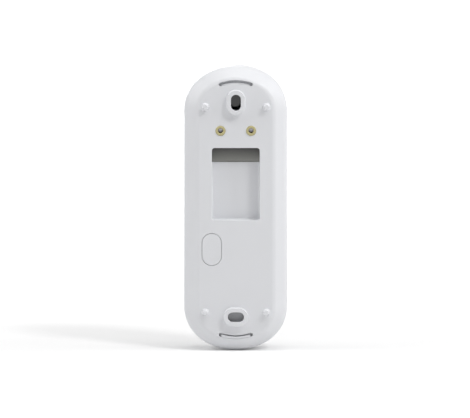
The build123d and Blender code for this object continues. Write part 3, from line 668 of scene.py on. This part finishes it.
def front_holes(size):
    """Every hole through the front: camera, post, button, speaker and microphone."""
    start, through = size.depth + above, 2.2
    straight = [(0, above + through)]
    window = rectangle(10.4, 7.9, 0.3, 0, top_post_z)
    holes = [
        grow(round_outline("camera_hole", camera_hole, start, 0, camera_z, 96), straight, -1),
        grow(draw("post_window", window, start), straight, -1),
    ]
    pitch = 2.2
    small = [(0.7, pitch * column, speaker_z + pitch * row) for column in range(-3, 4) for row in (-1, 0, 1)]
    flared = [("button_hole", size.ring_radius + 0.2, 0, button_z, 0.3, 5, 96)]
    flared += [("small_hole", radius, x, z, 0.15, 2, 24) for radius, x, z in small + [(0.6, mic_x, mic_z)]]
    for name, radius, x, z, mouth, parts, points in flared:
        hole = round_outline(name, radius + mouth, start, x, z, points)
        holes.append(grow(hole, [(0, first_ring)] + flare(mouth, parts) + [(0, through - mouth)], -1))
    return holes


def model_front_cover(size):
    """The cover, drawn at the parting line, grown to the front and hollowed from behind."""
    front, edge = size.depth, size.front_edge
    start, side_wall, hollow = parting + 0.15, 1.6, 1.7
    cover = draw("cover_shell", body_outline(size), start)
    grow(cover, [(0, front - start - edge)] + rounding(edge, 12), 1)
    soften(start, 0.2, 2)
    pick_end(start)
    inner_round = [(inward, -along) for inward, along in rounding(hollow)]
    step_face([(side_wall, 0), (0, -(front - cover_wall - hollow - start))] + inner_round)
    boolean(cover, front_holes(size), "DIFFERENCE")
    seat = draw("inlay_seat", inlay_outline(size, 0.1), front + above)
    boolean(cover, [grow(seat, [(0, above + inlay_thickness)], -1)], "DIFFERENCE")
    post_start, post_end, post_edge = front - 1.9, 6.6, (0.2, 0.2)
    post = draw("bottom_post", rectangle(10.6, 8.0, 0.4, 0, -size.slot_height), post_start)
    grow(post, [(0, post_start - post_end), post_edge], -1)
    boolean(cover, cover_tongues(size) + [post], "UNION")
    boolean(cover, tongue_lips(), "UNION")
    boolean(cover, tongue_ribs(size), "UNION")
    return cover


def model_fascia(size):
    """The glossy inlay with the camera's opening and, behind it, the post that reaches into the top slot."""
    mouth, back, post_end = 0.25, size.depth - inlay_thickness, reach("fascia")[0]
    inlay = draw("fascia_inlay", inlay_outline(size), back)
    grow(inlay, [(0, inlay_thickness - 0.2)] + rounding(0.2, 3), 1)
    post = draw("top_post", rectangle(10.0, 7.5, 0.4, 0, top_post_z), back + 0.1)
    boolean(inlay, [grow(post, [(0, back - 0.1 - post_end), (0.2, 0.2)], -1)], "UNION")
    hole = round_outline("camera_hole", camera_hole + mouth, size.depth + above, 0, camera_z, 128)
    grow(hole, [(0, first_ring)] + flare(mouth) + [(0, inlay_thickness + 0.1 - mouth)], -1)
    boolean(inlay, [hole], "DIFFERENCE")
    return inlay


def model_bezel():
    """The ring round the camera window, with a rounded outer edge and a sloped inner lip."""
    near, far = reach("camera_bezel")
    seat = reach("camera_window")[1]
    foot, lip = 8.7, 7.9
    profile = [(foot, near), (9.5, near)] + bend(9.5, far, 0.3)
    profile += [(8.2, far), (lip, seat + 0.02), (lip, seat), (foot, seat), (foot, near)]
    return lathe("camera_ring", profile, 0, camera_z, 128)


def model_window():
    """The clear disc in front of the camera."""
    near, far = reach("camera_window")
    radius, edge = 8.6, 0.1
    profile = [(0, near), (radius - edge, near), (radius, near + edge), (radius, far - edge), (radius - edge, far)]
    return lathe("camera_glass", profile + [(0, far)], 0, camera_z, 128)


def model_lens_barrel():
    """The lens barrel with baffle steps round the glass."""
    near, far = reach("lens_barrel")
    bore, tube, wide, head, step = 3.0, 4.0, 5.8, 18.3, 20.4
    profile = [(bore, near), (tube, near), (tube, head), (wide, head), (wide, far - 0.15), (5.65, far)]
    profile += [(5.3, far), (5.3, far - 0.2), (5.0, far - 0.2), (5.0, far - 0.4), (4.75, far - 0.4)]
    profile += [(4.6, far - 0.5), (4.5, step + 0.05), (4.5, step), (bore, step), (bore, near)]
    return lathe("lens_tube", profile, 0, camera_z, 96)


def model_button(size):
    """The button: a shallow dish on top, a flange that holds it in, and its stem."""
    near, far = reach("button_cap")
    radius, stem, flange = size.button_radius, 2.5, 9.5
    flange_far = far - 1.8
    flange_near = flange_far - 1.0
    profile = [(0, near), (2.3, near), (stem, near + 0.2), (stem, flange_near), (flange, flange_near)]
    profile += [(flange, flange_far), (radius, flange_far)] + bend(radius, far, 0.45)
    profile += [(radius - 1.0, far - 0.01), (radius - 2.5, far - 0.12), (radius - 5, far - 0.22), (0, far - 0.27)]
    return lathe("button_face", profile, 0, button_z, 128)


def model_light_ring(size):
    """The light ring and the four legs that carry light to it."""
    leg_near, far = reach("button_light_ring")
    near, step, radius, bore, wide_bore = 20.0, 22.2, size.ring_radius, size.button_radius + 0.15, 9.7
    profile = [(wide_bore, near), (radius, near)] + bend(radius, far, 0.3)
    profile += [(bore + 0.2, far), (bore, far - 0.2), (bore, step), (wide_bore, step), (wide_bore, near)]
    ring = lathe("light_ring", profile, 0, button_z, 128)
    circle, leg_far, legs = radius - 0.65, near + 0.2, []
    for turn in [radians(90 * i + 45) for i in range(4)]:
        x, z = circle * cos(turn), button_z + circle * sin(turn)
        leg = round_outline("light_leg", 0.6, leg_far, x, z, 24)
        legs.append(grow(leg, [(0, leg_far - leg_near - 0.1), (0.1, 0.1)], -1))
    boolean(ring, legs, "UNION")
    return ring


def model_frame_screw():
    """A pan-head screw with a cross recess and ridged threads."""
    near, far = reach("frame_screws")
    x, z = peg_places[-1]
    seat, crest, root, head, pitch = far - 1.8, 1.15, 0.95, 2.3, 0.45
    profile = [(0, near), (0.8, near)]
    depth = near + 0.2
    while depth < seat - 0.6:
        profile += [(crest, depth), (root, depth + pitch / 2)]
        depth += pitch
    profile += [(crest, seat - 0.2), (crest, seat), (head, seat), (head, seat + 0.7)]
    profile += [(2.2, seat + 1.15), (1.9, seat + 1.5), (1.4, far - 0.08), (0, far)]
    screw = lathe("frame_screw_1", profile, x, z, 48)
    arm, tip = 0.32, 1.35
    turns = [(arm, tip), (-arm, tip), (-arm, arm), (-tip, arm), (-tip, -arm), (-arm, -arm)]
    turns += [(-across, -up) for across, up in turns]
    path = [(x + across, z + up) for across, up in turns]
    cross = draw("cross_recess", (path[-1], path), far + 0.2)
    boolean(screw, [grow(cross, [(0, 0.2), (0.12, 1.1)], -1)], "DIFFERENCE")
    return screw


# ---- finishes ----


def add_node(tree, kind, output=0, inputs=None, **settings):
    """Adds a shader node with its settings, sets or links its inputs, and gives one of its outputs."""
    made = tree.nodes.new("ShaderNode" + kind)
    for name, value in settings.items():
        setattr(made, name, value)
    for socket, value in (inputs or {}).items():
        if isinstance(value, bpy.types.NodeSocket):
            tree.links.new(value, made.inputs[socket])
        else:
            made.inputs[socket].default_value = value
    return made.outputs[output]


def start_finish(name, **sockets):
    """A new finish with plain values set on its shader: the finish, its node tree and Object coordinates."""
    finish = bpy.data.materials.new(name)
    finish.use_nodes = True
    tree = finish.node_tree
    for socket, value in sockets.items():
        tree.nodes["Principled BSDF"].inputs[socket.replace("_", " ")].default_value = value
    return finish, tree, add_node(tree, "TexCoord", "Object")


def dress(finish, colours, roughness=None, bump=None):
    """Lets patterns drive a finish. Colours is (pattern, colour where it is 0, colour where it is 1), roughness is
    (pattern, value at 0, value at 1), and bump is (pattern, depth in millimetres)."""
    tree, driven = finish.node_tree, {}
    pattern, first, second = colours
    inputs = {0: pattern, 6: (*first, 1), 7: (*second, 1)}
    driven["Base Color"] = add_node(tree, "Mix", 2, inputs, data_type="RGBA")
    if roughness:
        pattern, low, high = roughness
        inputs = {"Value": pattern, "To Min": low, "To Max": high}
        driven["Roughness"] = add_node(tree, "MapRange", "Result", inputs)
    if bump:
        pattern, rise = bump
        inputs = {"Height": pattern, "Distance": rise * MM, "Strength": 1.0}
        driven["Normal"] = add_node(tree, "Bump", "Normal", inputs)
    for socket, value in driven.items():
        tree.links.new(value, tree.nodes["Principled BSDF"].inputs[socket])
    return finish


def per_mm(size):
    """A texture's scale for features of this size in millimetres."""
    return 1 / (size * MM)


def bands(size):
    """A wave texture's scale. It draws the sine of 20 times its coordinate, so its bands come out 6.28 times
    this size in millimetres apart."""
    return per_mm(size) / 20


def shade_of(base, factor):
    """A darker or lighter shade of a linear colour."""
    return tuple(min(1.0, channel * factor) for channel in base)


def moulded_plastic(name, base, low, high, grit, rise, tint=0.975):
    """Injection-moulded plastic. Spark-eroded tool walls leave a fine even grit that breaks up its sheen,
    and slight cloudiness in the resin keeps large faces from looking painted."""
    finish, tree, place = start_finish(name, IOR=1.53)
    cloud = add_node(tree, "TexNoise", 0, {"Vector": place, "Scale": per_mm(16), "Detail": 3.0})
    sand = add_node(tree, "TexNoise", 0, {"Vector": place, "Scale": per_mm(grit), "Detail": 2.0})
    return dress(finish, (cloud, shade_of(base, tint), base), (sand, low, high), (sand, rise))


def shade_graded_nylon(name, base, lower_colour, low, high):
    """Matt grey nylon, moulded. Its colour is painted shade: dark at the top and paler towards its lower edge, as the
    shadow in a deep well would fall, though the field nearly fills the well.
    """
    finish, tree, place = start_finish(name, IOR=1.53)
    sand = add_node(tree, "TexNoise", 0, {"Vector": place, "Scale": per_mm(0.4), "Detail": 2.0})
    height = add_node(tree, "SeparateXYZ", "Z", {"Vector": place})
    # painted shade: 0 at the well's top, where the painted shade is darkest, rising to 1 at its lower edge
    span = {"Value": height, "From Min": high * MM, "From Max": low * MM}
    tone_mask = add_node(tree, "MapRange", "Result", span)
    return dress(finish, (tone_mask, base, lower_colour), (sand, 0.55, 0.7), (sand, 0.003))


def polished_black(name, base):
    """Black polycarbonate moulded in a polished tool and hard-coated: deep, with a clear
    reflection that ripples a little over the sink of the moulding."""
    finish, tree, place = start_finish(name, IOR=1.5, Coat_Weight=0.2, Coat_Roughness=0.03)
    ripple = add_node(tree, "TexNoise", 0, {"Vector": place, "Scale": per_mm(9), "Detail": 1.0})
    haze = add_node(tree, "TexNoise", 0, {"Vector": place, "Scale": per_mm(3), "Detail": 4.0})
    return dress(finish, (haze, base, shade_of(base, 1.5)), (haze, 0.06, 0.13), (ripple, 0.004))


def turned_brass(name, base):
    """Free-cutting brass turned on a lathe: faint concentric tool marks, drawn 1.6 mm apart, which is much
    coarser than real ones, and a thin brown tarnish."""
    finish, tree, place = start_finish(name, Metallic=1.0)
    either = add_node(tree, "VectorMath", 0, {0: place}, operation="ABSOLUTE")
    centre = add_node(tree, "Mapping", 0, {0: either, 1: -at(terminal_x, 0, terminal_z)})
    rings = {"Vector": centre, "Scale": bands(0.25), "Distortion": 0.3}
    cuts = add_node(tree, "TexWave", "Fac", rings, wave_type="RINGS", rings_direction="Y")
    stain = add_node(tree, "TexNoise", 0, {"Vector": place, "Scale": per_mm(1.4), "Detail": 3.0})
    return dress(finish, (stain, shade_of(base, 0.72), base), (stain, 0.3, 0.5), (cuts, 0.01))


def plated_metal(name, base, streak, low, high):
    """Plated sheet or wire: a bright plating over rolled metal, drawn out in fine lines one way."""
    finish, tree, place = start_finish(name, Metallic=1.0)
    drawn = add_node(tree, "Mapping", 0, {0: place, 3: (1.0, 1.0, 0.08)})
    lines = add_node(tree, "TexNoise", 0, {"Vector": drawn, "Scale": per_mm(streak), "Detail": 3.0})
    return dress(finish, (lines, shade_of(base, 0.85), base), (lines, low, high), (lines, 0.006))


def soldermask_board(name, base, copper):
    """Glass-fibre board under green solder mask: copper tracks show through as lighter lines,
    and the mask pools glossy between them."""
    finish, tree, place = start_finish(name, IOR=1.5, Coat_Weight=0.4, Coat_Roughness=0.15)
    flat = add_node(tree, "Mapping", 0, {0: place, 2: (radians(90), 0, 0)})
    grid = {"Vector": flat, "Scale": per_mm(2.4), "Mortar Size": 0.03, "Row Height": 0.4, "Brick Width": 1.3}
    tracks = add_node(tree, "TexBrick", "Fac", grid, offset=0.37)
    weave = add_node(tree, "TexNoise", 0, {"Vector": place, "Scale": per_mm(0.4), "Detail": 2.0})
    return dress(finish, (tracks, base, copper), (weave, 0.25, 0.4), (tracks, 0.03))


def moulded_rubber(name, base):
    """Compression-moulded silicone: matte, a little dusty, with a soft sheen at grazing angles."""
    finish, tree, place = start_finish(name, IOR=1.41, Sheen_Weight=0.25, Sheen_Roughness=0.4)
    tone_mask = add_node(tree, "TexNoise", 0, {"Vector": place, "Scale": per_mm(0.5), "Detail": 4.0})
    return dress(finish, (tone_mask, base, shade_of(base, 1.06)), (tone_mask, 0.55, 0.75), (tone_mask, 0.004))


def optical_glass(name, base, rough):
    """Ground and polished glass: clear, with nothing but its reflection and a trace of cleaning haze."""
    finish, tree, place = start_finish(name, IOR=1.52, Transmission_Weight=1.0)
    haze = add_node(tree, "TexNoise", 0, {"Vector": place, "Scale": per_mm(4), "Detail": 3.0})
    return dress(finish, (haze, base, shade_of(base, 0.97)), (haze, rough, rough + 0.02))


def cast_epoxy(name, base):
    """Cast epoxy over an LED die: yellowish and glassy, with a speckle of phosphor."""
    finish, tree, place = start_finish(name, IOR=1.5, Transmission_Weight=0.35)
    specks = add_node(tree, "TexNoise", 0, {"Vector": place, "Scale": per_mm(0.15), "Detail": 2.0})
    return dress(finish, (specks, shade_of(base, 0.8), base), (specks, 0.12, 0.25))


def frosted_acrylic(name, base):
    """Acrylic light guide with a bead-blasted face: milky, light soaks in and spreads before it comes back."""
    soak = {"Subsurface_Weight": 0.5, "Subsurface_Scale": 1.5 * MM, "Subsurface_Radius": (1.0, 1.0, 1.0)}
    finish, tree, place = start_finish(name, IOR=1.49, **soak)
    beads = add_node(tree, "TexNoise", 0, {"Vector": place, "Scale": per_mm(0.2), "Detail": 2.0})
    return dress(finish, (beads, shade_of(base, 0.96), base), (beads, 0.35, 0.5), (beads, 0.004))


def woven_mesh(name, base):
    """Woven polyester mesh: round black threads, drawn 3.1 mm apart, which is far coarser than the real cloth."""
    finish, tree, place = start_finish(name, IOR=1.5, Sheen_Weight=0.3)
    weave = {"Vector": place, "Scale": bands(0.5)}
    across = add_node(tree, "TexWave", "Fac", weave, bands_direction="X")
    up = add_node(tree, "TexWave", "Fac", weave, bands_direction="Z")
    threads = add_node(tree, "Math", 0, {0: across, 1: up}, operation="MAXIMUM")
    return dress(finish, (threads, shade_of(base, 0.3), base), (threads, 0.7, 0.9), (threads, 0.1))


def open_foam(name, base):
    """Cut polyurethane foam: matte, with open cells about half a millimetre across."""
    finish, tree, place = start_finish(name, IOR=1.45, Roughness=0.95)
    cells = add_node(tree, "TexVoronoi", "Distance", {"Vector": place, "Scale": per_mm(0.5)})
    return dress(finish, (cells, shade_of(base, 0.45), base), bump=(cells, 0.15))


def crimped_foil(name, base):
    """Laminated cell pouch: dull aluminium foil, creased where it was vacuum-sealed round the cell."""
    finish, tree, place = start_finish(name, Metallic=1.0)
    creases = add_node(tree, "TexNoise", 0, {"Vector": place, "Scale": per_mm(5), "Detail": 5.0})
    return dress(finish, (creases, shade_of(base, 0.85), base), (creases, 0.28, 0.45), (creases, 0.12))


def flat_cable_film(name, base, copper):
    """Polyimide film over etched copper: amber and glossy, with parallel conductors showing through, drawn
    6.3 mm apart, which is coarser than real ones."""
    finish, tree, place = start_finish(name, IOR=1.6, Coat_Weight=0.3)
    lines = add_node(tree, "TexWave", "Fac", {"Vector": place, "Scale": bands(1.0)}, bands_direction="X")
    return dress(finish, (lines, base, copper), (lines, 0.3, 0.4), (lines, 0.02))


def pressed_cone(name, base):
    """Thermoformed film cone: satin, with concentric ribs pressed into it to stiffen it, drawn 9.4 mm apart."""
    finish, tree, place = start_finish(name, IOR=1.55)
    centre = add_node(tree, "Mapping", 0, {0: place, 1: -at(0, 0, speaker_z)})
    rings = {"Vector": centre, "Scale": bands(1.5)}
    ribs = add_node(tree, "TexWave", "Fac", rings, wave_type="RINGS", rings_direction="Y")
    return dress(finish, (ribs, base, shade_of(base, 1.4)), (ribs, 0.35, 0.5), (ribs, 0.1))


def make_finishes(colours):
    """Every finish, by the name of the material slot that it belongs to."""
    return {
        "white_shell": moulded_plastic("moulded_white_abs", tuple(colours.shell), 0.4, 0.5, 0.35, 0.0015),
        "white_cap": moulded_plastic("satin_white_polycarbonate", tuple(colours.button), 0.3, 0.4, 0.3, 0.001),
        "white_plug": moulded_rubber("moulded_white_silicone", tuple(colours.plug)),
        "black_gloss": polished_black("polished_black_polycarbonate", tuple(colours.fascia)),
        "frame_plastic": moulded_plastic("moulded_black_nylon", linear("#2b2c2f"), 0.5, 0.65, 0.5, 0.006, 0.8),
        # the well plate's dark grey, graded paler towards its lower edge, is painted shade of a deep well
        "plate_plastic": shade_graded_nylon("moulded_grey_nylon", linear("#2e2e2d"), linear("#94948f"), 21.3, 27.6),
        "lens_plastic": moulded_plastic("matte_black_lens_plastic", linear("#131416"), 0.55, 0.7, 0.3, 0.003, 0.8),
        "terminal_brass": turned_brass("turned_brass", tuple(colours.brass)),
        "tinned_strip": plated_metal("tinned_copper_strip", linear("#c9c6cf"), 0.3, 0.25, 0.4),
        "screw_steel": plated_metal("zinc_plated_steel", linear("#b9bcc0"), 0.4, 0.25, 0.4),
        "shield_steel": plated_metal("nickel_silver_sheet", linear("#c3c2bd"), 0.5, 0.25, 0.38),
        "circuit_board": soldermask_board("green_soldermask_board", linear("#0f4a2c"), linear("#2a7248")),
        "component_black": moulded_plastic("moulded_black_epoxy", linear("#1b1c1e"), 0.45, 0.6, 0.25, 0.003, 0.8),
        "capacitor_can": plated_metal("drawn_aluminium_can", linear("#c8cacd"), 0.6, 0.2, 0.35),
        "grey_silicone": moulded_rubber("moulded_grey_silicone", linear("#6f7377")),
        "black_silicone": moulded_rubber("moulded_black_silicone", linear("#1c1d1f")),
        "clear_glass": optical_glass("polished_clear_glass", linear("#f7faf9"), 0.0),
        "filter_glass": optical_glass("coated_filter_glass", linear("#bfe3ea"), 0.01),
        "led_epoxy": cast_epoxy("cast_led_epoxy", linear("#e8dfae")),
        "light_guide": frosted_acrylic("frosted_acrylic", tuple(colours.light_guide)),
        "magnet_steel": plated_metal("nickel_plated_magnet", linear("#b2b3b5"), 0.8, 0.15, 0.28),
        "cone_film": pressed_cone("thermoformed_cone_film", linear("#25272a")),
        "mesh_cloth": woven_mesh("woven_polyester_mesh", linear("#1e1f22")),
        "foam": open_foam("open_cell_foam", linear("#3a3b3f")),
        "cell_foil": crimped_foil("laminated_cell_foil", linear("#c5c8cc")),
        "ribbon_film": flat_cable_film("polyimide_film", linear("#a5671c"), linear("#c98d3a")),
    }


# ---- operators ----


class DOORBELL_OT_finishes(bpy.types.Operator):
    """Makes every finish and gives each inner part the finish of its material slot"""

    bl_idname = "doorbell.finishes"
    bl_label = "Finishes"

    def execute(self, context):
        made = make_finishes(context.scene.doorbell_colours)
        context.scene["doorbell_finishes"] = {slot: finish.name for slot, finish in made.items()}
        for part in frame["record"]["subparts"]:
            for held in frame["nodes"][part["node"]].material_slots:
                held.material = made[part["material_slot"]]
        return {"FINISHED"}


class DOORBELL_OT_rear_housing(bpy.types.Operator):
    """Models the rear housing, with its wall bosses, pegs, slots and wire pocket, and the plate behind the well"""

    bl_idname = "doorbell.rear_housing"
    bl_label = "Rear Housing"

    def execute(self, context):
        size = in_millimetres(context)
        complete(model_rear_housing(size), "base", "white_shell", "rear_housing")
        complete(model_well_plate(size), "base", "plate_plastic", "well_plate")
        return {"FINISHED"}


class DOORBELL_OT_terminals(bpy.types.Operator):
    """Models one brass wire terminal and copies it to the other side"""

    bl_idname = "doorbell.terminals"
    bl_label = "Wire Terminals"

    def execute(self, context):
        right = model_terminal()
        left = copy_by(right, "terminal_left", -2 * terminal_x, 0)
        for insert in (right, left):
            complete(insert, "base", "terminal_brass", "terminal_inserts")
        return {"FINISHED"}


class DOORBELL_OT_service_plug(bpy.types.Operator):
    """Models the oval rubber plug over the service port"""

    bl_idname = "doorbell.service_plug"
    bl_label = "Service Plug"

    def execute(self, context):
        plug = model_service_plug(in_millimetres(context))
        complete(plug, "plug", "white_plug", "service_plug")
        return {"FINISHED"}


class DOORBELL_OT_front_cover(bpy.types.Operator):
    """Models the front cover with its holes, tongues and post"""

    bl_idname = "doorbell.front_cover"
    bl_label = "Front Cover"

    def execute(self, context):
        cover = model_front_cover(in_millimetres(context))
        complete(cover, "cover", "white_shell", "front_cover")
        return {"FINISHED"}


class DOORBELL_OT_fascia(bpy.types.Operator):
    """Models the glossy black inlay round the camera"""

    bl_idname = "doorbell.fascia"
    bl_label = "Fascia"

    def execute(self, context):
        inlay = model_fascia(in_millimetres(context))
        complete(inlay, "cover", "black_gloss", "fascia")
        return {"FINISHED"}


class DOORBELL_OT_camera(bpy.types.Operator):
    """Models the camera's ring, window and lens barrel"""

    bl_idname = "doorbell.camera"
    bl_label = "Camera"

    def execute(self, context):
        complete(model_bezel(), "base", "black_gloss", "camera_bezel")
        complete(model_window(), "base", "clear_glass", "camera_window")
        complete(model_lens_barrel(), "base", "lens_plastic", "lens_barrel")
        return {"FINISHED"}


class DOORBELL_OT_button(bpy.types.Operator):
    """Models the button and the light ring round it"""

    bl_idname = "doorbell.button"
    bl_label = "Button"

    def execute(self, context):
        size = in_millimetres(context)
        complete(model_button(size), "button", "white_cap", "button_cap")
        complete(model_light_ring(size), "base", "light_guide", "button_light_ring")
        return {"FINISHED"}


class DOORBELL_OT_frame_screws(bpy.types.Operator):
    """Models one frame screw and copies it to the other three ears"""

    bl_idname = "doorbell.frame_screws"
    bl_label = "Frame Screws"

    def execute(self, context):
        first = model_frame_screw()
        home_x, home_z = peg_places[-1]
        screws = [first]
        for number, (x, z) in enumerate(peg_places[:-1], 2):
            screws.append(copy_by(first, f"frame_screw_{number}", x - home_x, z - home_z))
        for screw in screws:
            complete(screw, "base", "screw_steel", "frame_screws", sharp=30)
        return {"FINISHED"}


class DOORBELL_OT_studio(bpy.types.Operator):
    """Sets up a pale floor, soft lamps, an even white surround and the camera behind the doorbell"""

    bl_idname = "doorbell.studio"
    bl_label = "Studio"

    def execute(self, context):
        studio = context.scene.doorbell_studio
        lay_floor(studio)
        aim = Vector((0.00026, -0.012, -0.0006))  # in metres: close to the body's middle
        add_lamp("top_lamp", aim, 180, 78, 1.1, 0.8, studio.top)
        add_lamp("high_lamp", aim, 224, 46, 1.1, 0.2, studio.high)
        add_lamp("right_lamp", aim, 262, 30, 1.1, 0.7, studio.sides)
        add_lamp("left_lamp", aim, 98, 30, 1.1, 0.7, studio.sides)
        add_lamp("front_lamp", aim, 10, 8, 1.2, 0.4, studio.front)
        light_surround(studio)
        place_camera(aim)
        context.scene.view_settings.view_transform = "Standard"
        return {"FINISHED"}


def toward(azimuth, elevation):
    """The direction to a viewer at this azimuth and elevation. Azimuth 0 looks square at the front."""
    a, e = radians(azimuth), radians(elevation)
    return Vector((sin(a) * cos(e), -cos(a) * cos(e), sin(e)))


def seen_by_eye(tree):
    """1 for rays from the eye and for those that reach it by reflection or through glass, else 0."""
    ray = add_node(tree, "LightPath").node.outputs
    some = {0: ray["Is Camera Ray"], 1: ray["Is Glossy Ray"]}
    either = {0: add_node(tree, "Math", 0, some, operation="ADD"), 1: ray["Is Transmission Ray"]}
    return add_node(tree, "Math", 0, either, operation="ADD", use_clamp=True)


def lay_floor(studio):
    """Matte white paper, so wide that its edge is never seen. To the eye it glows more with distance,
    so that it runs into the surround, and round the doorbell it still takes the shadow."""
    deselect()
    paper_size, gap = 24.0, 0.00002
    bpy.ops.mesh.primitive_plane_add(size=paper_size, location=(0, 0, cad_box[0].z - gap))
    floor = settle("paper_floor")
    bpy.ops.mesh.subdivide(number_cuts=3)
    deselect()
    finish, tree, place = start_finish("matte_white_paper", IOR=1.45, Roughness=0.9, Specular_IOR_Level=0.1)
    fibre = add_node(tree, "TexNoise", 0, {"Vector": place, "Scale": per_mm(1.5), "Detail": 3.0})
    dress(finish, (fibre, shade_of(studio.floor, 0.99), studio.floor))
    away = add_node(tree, "VectorMath", "Value", {0: place}, operation="LENGTH")
    near, far = 0.12, 0.7
    span = {"Value": away, "From Min": near, "From Max": far, "To Min": studio.glow, "To Max": 1.0}
    rise = add_node(tree, "MapRange", "Result", span)
    strength = add_node(tree, "Math", 0, {0: seen_by_eye(tree), 1: rise}, operation="MULTIPLY")
    glow = add_node(tree, "Emission", 0, {"Strength": strength})
    paper = tree.nodes["Principled BSDF"].outputs[0]
    both = add_node(tree, "AddShader", 0, {0: paper, 1: glow})
    tree.links.new(both, tree.nodes["Material Output"].inputs["Surface"])
    floor.data.materials.append(finish)


def add_lamp(name, aim, azimuth, elevation, distance, size, power):
    """A square soft lamp aimed at the doorbell."""
    back = toward(azimuth, elevation)
    deselect()
    turn = (-back).to_track_quat("-Z", "Y").to_euler()
    bpy.ops.object.light_add(type="AREA", location=aim + back * distance, rotation=turn)
    lamp = bpy.context.object
    lamp.name = lamp.data.name = name
    lamp.data.shape, lamp.data.size, lamp.data.energy = "SQUARE", size, power


def light_surround(studio):
    """An even surround: white to the eye, and at its own strength as light."""
    world = bpy.data.worlds.new("white_surround")
    world.use_nodes = True
    tree = world.node_tree
    span = {"Value": seen_by_eye(tree), "To Min": studio.ambient, "To Max": 1.0}
    level = add_node(tree, "MapRange", "Result", span)
    surround = tree.nodes["Background"]
    surround.inputs["Color"].default_value = (1, 1, 1, 1)
    tree.links.new(level, surround.inputs["Strength"])
    bpy.context.scene.world = world


def place_camera(aim):
    """A very long lens a little above the doorbell, looking at its back."""
    back, distance = toward(179.4, 5.6), 4.0
    deselect()
    turn = (-back).to_track_quat("-Z", "Y").to_euler()
    bpy.ops.object.camera_add(location=aim + back * distance, rotation=turn)
    camera = bpy.context.object
    camera.name = camera.data.name = "studio_camera"
    camera.data.lens, camera.data.sensor_width = 686, 36
    camera.data.clip_start, camera.data.clip_end = 0.05, 50
    bpy.context.scene.camera = camera


class DOORBELL_PT_panel(bpy.types.Panel):
    """Lists the doorbell's pieces, sizes, colours and studio"""

    bl_idname = "DOORBELL_PT_panel"
    bl_label = "Video Doorbell"
    bl_space_type = "VIEW_3D"
    bl_region_type = "UI"
    bl_category = "Doorbell"

    def draw(self, context):
        for title, group in (
            ("Sizes", context.scene.doorbell_sizes),
            ("Colours", context.scene.doorbell_colours),
            ("Studio", context.scene.doorbell_studio),
        ):
            box = self.layout.box()
            box.label(text=title)
            for name in group.__annotations__:
                box.prop(group, name)
        for operator in operators:
            self.layout.operator(operator.bl_idname)


groups = {
    "doorbell_sizes": DoorbellSizes,
    "doorbell_colours": DoorbellColours,
    "doorbell_studio": DoorbellStudio,
}
operators = (
    DOORBELL_OT_finishes,
    DOORBELL_OT_rear_housing,
    DOORBELL_OT_terminals,
    DOORBELL_OT_service_plug,
    DOORBELL_OT_front_cover,
    DOORBELL_OT_fascia,
    DOORBELL_OT_camera,
    DOORBELL_OT_button,
    DOORBELL_OT_frame_screws,
    DOORBELL_OT_studio,
)


def register():
    for made in (*groups.values(), *operators, DOORBELL_PT_panel):
        bpy.utils.register_class(made)
    for name, group in groups.items():
        setattr(bpy.types.Scene, name, bpy.props.PointerProperty(type=group))


def unregister():
    for name in groups:
        delattr(bpy.types.Scene, name)
    for made in reversed((*groups.values(), *operators, DOORBELL_PT_panel)):
        bpy.utils.unregister_class(made)


def main():
    register()
    for operator in operators:
        getattr(bpy.ops.doorbell, operator.bl_idname.split(".")[1])()


if __name__ == "__main__":
    main()
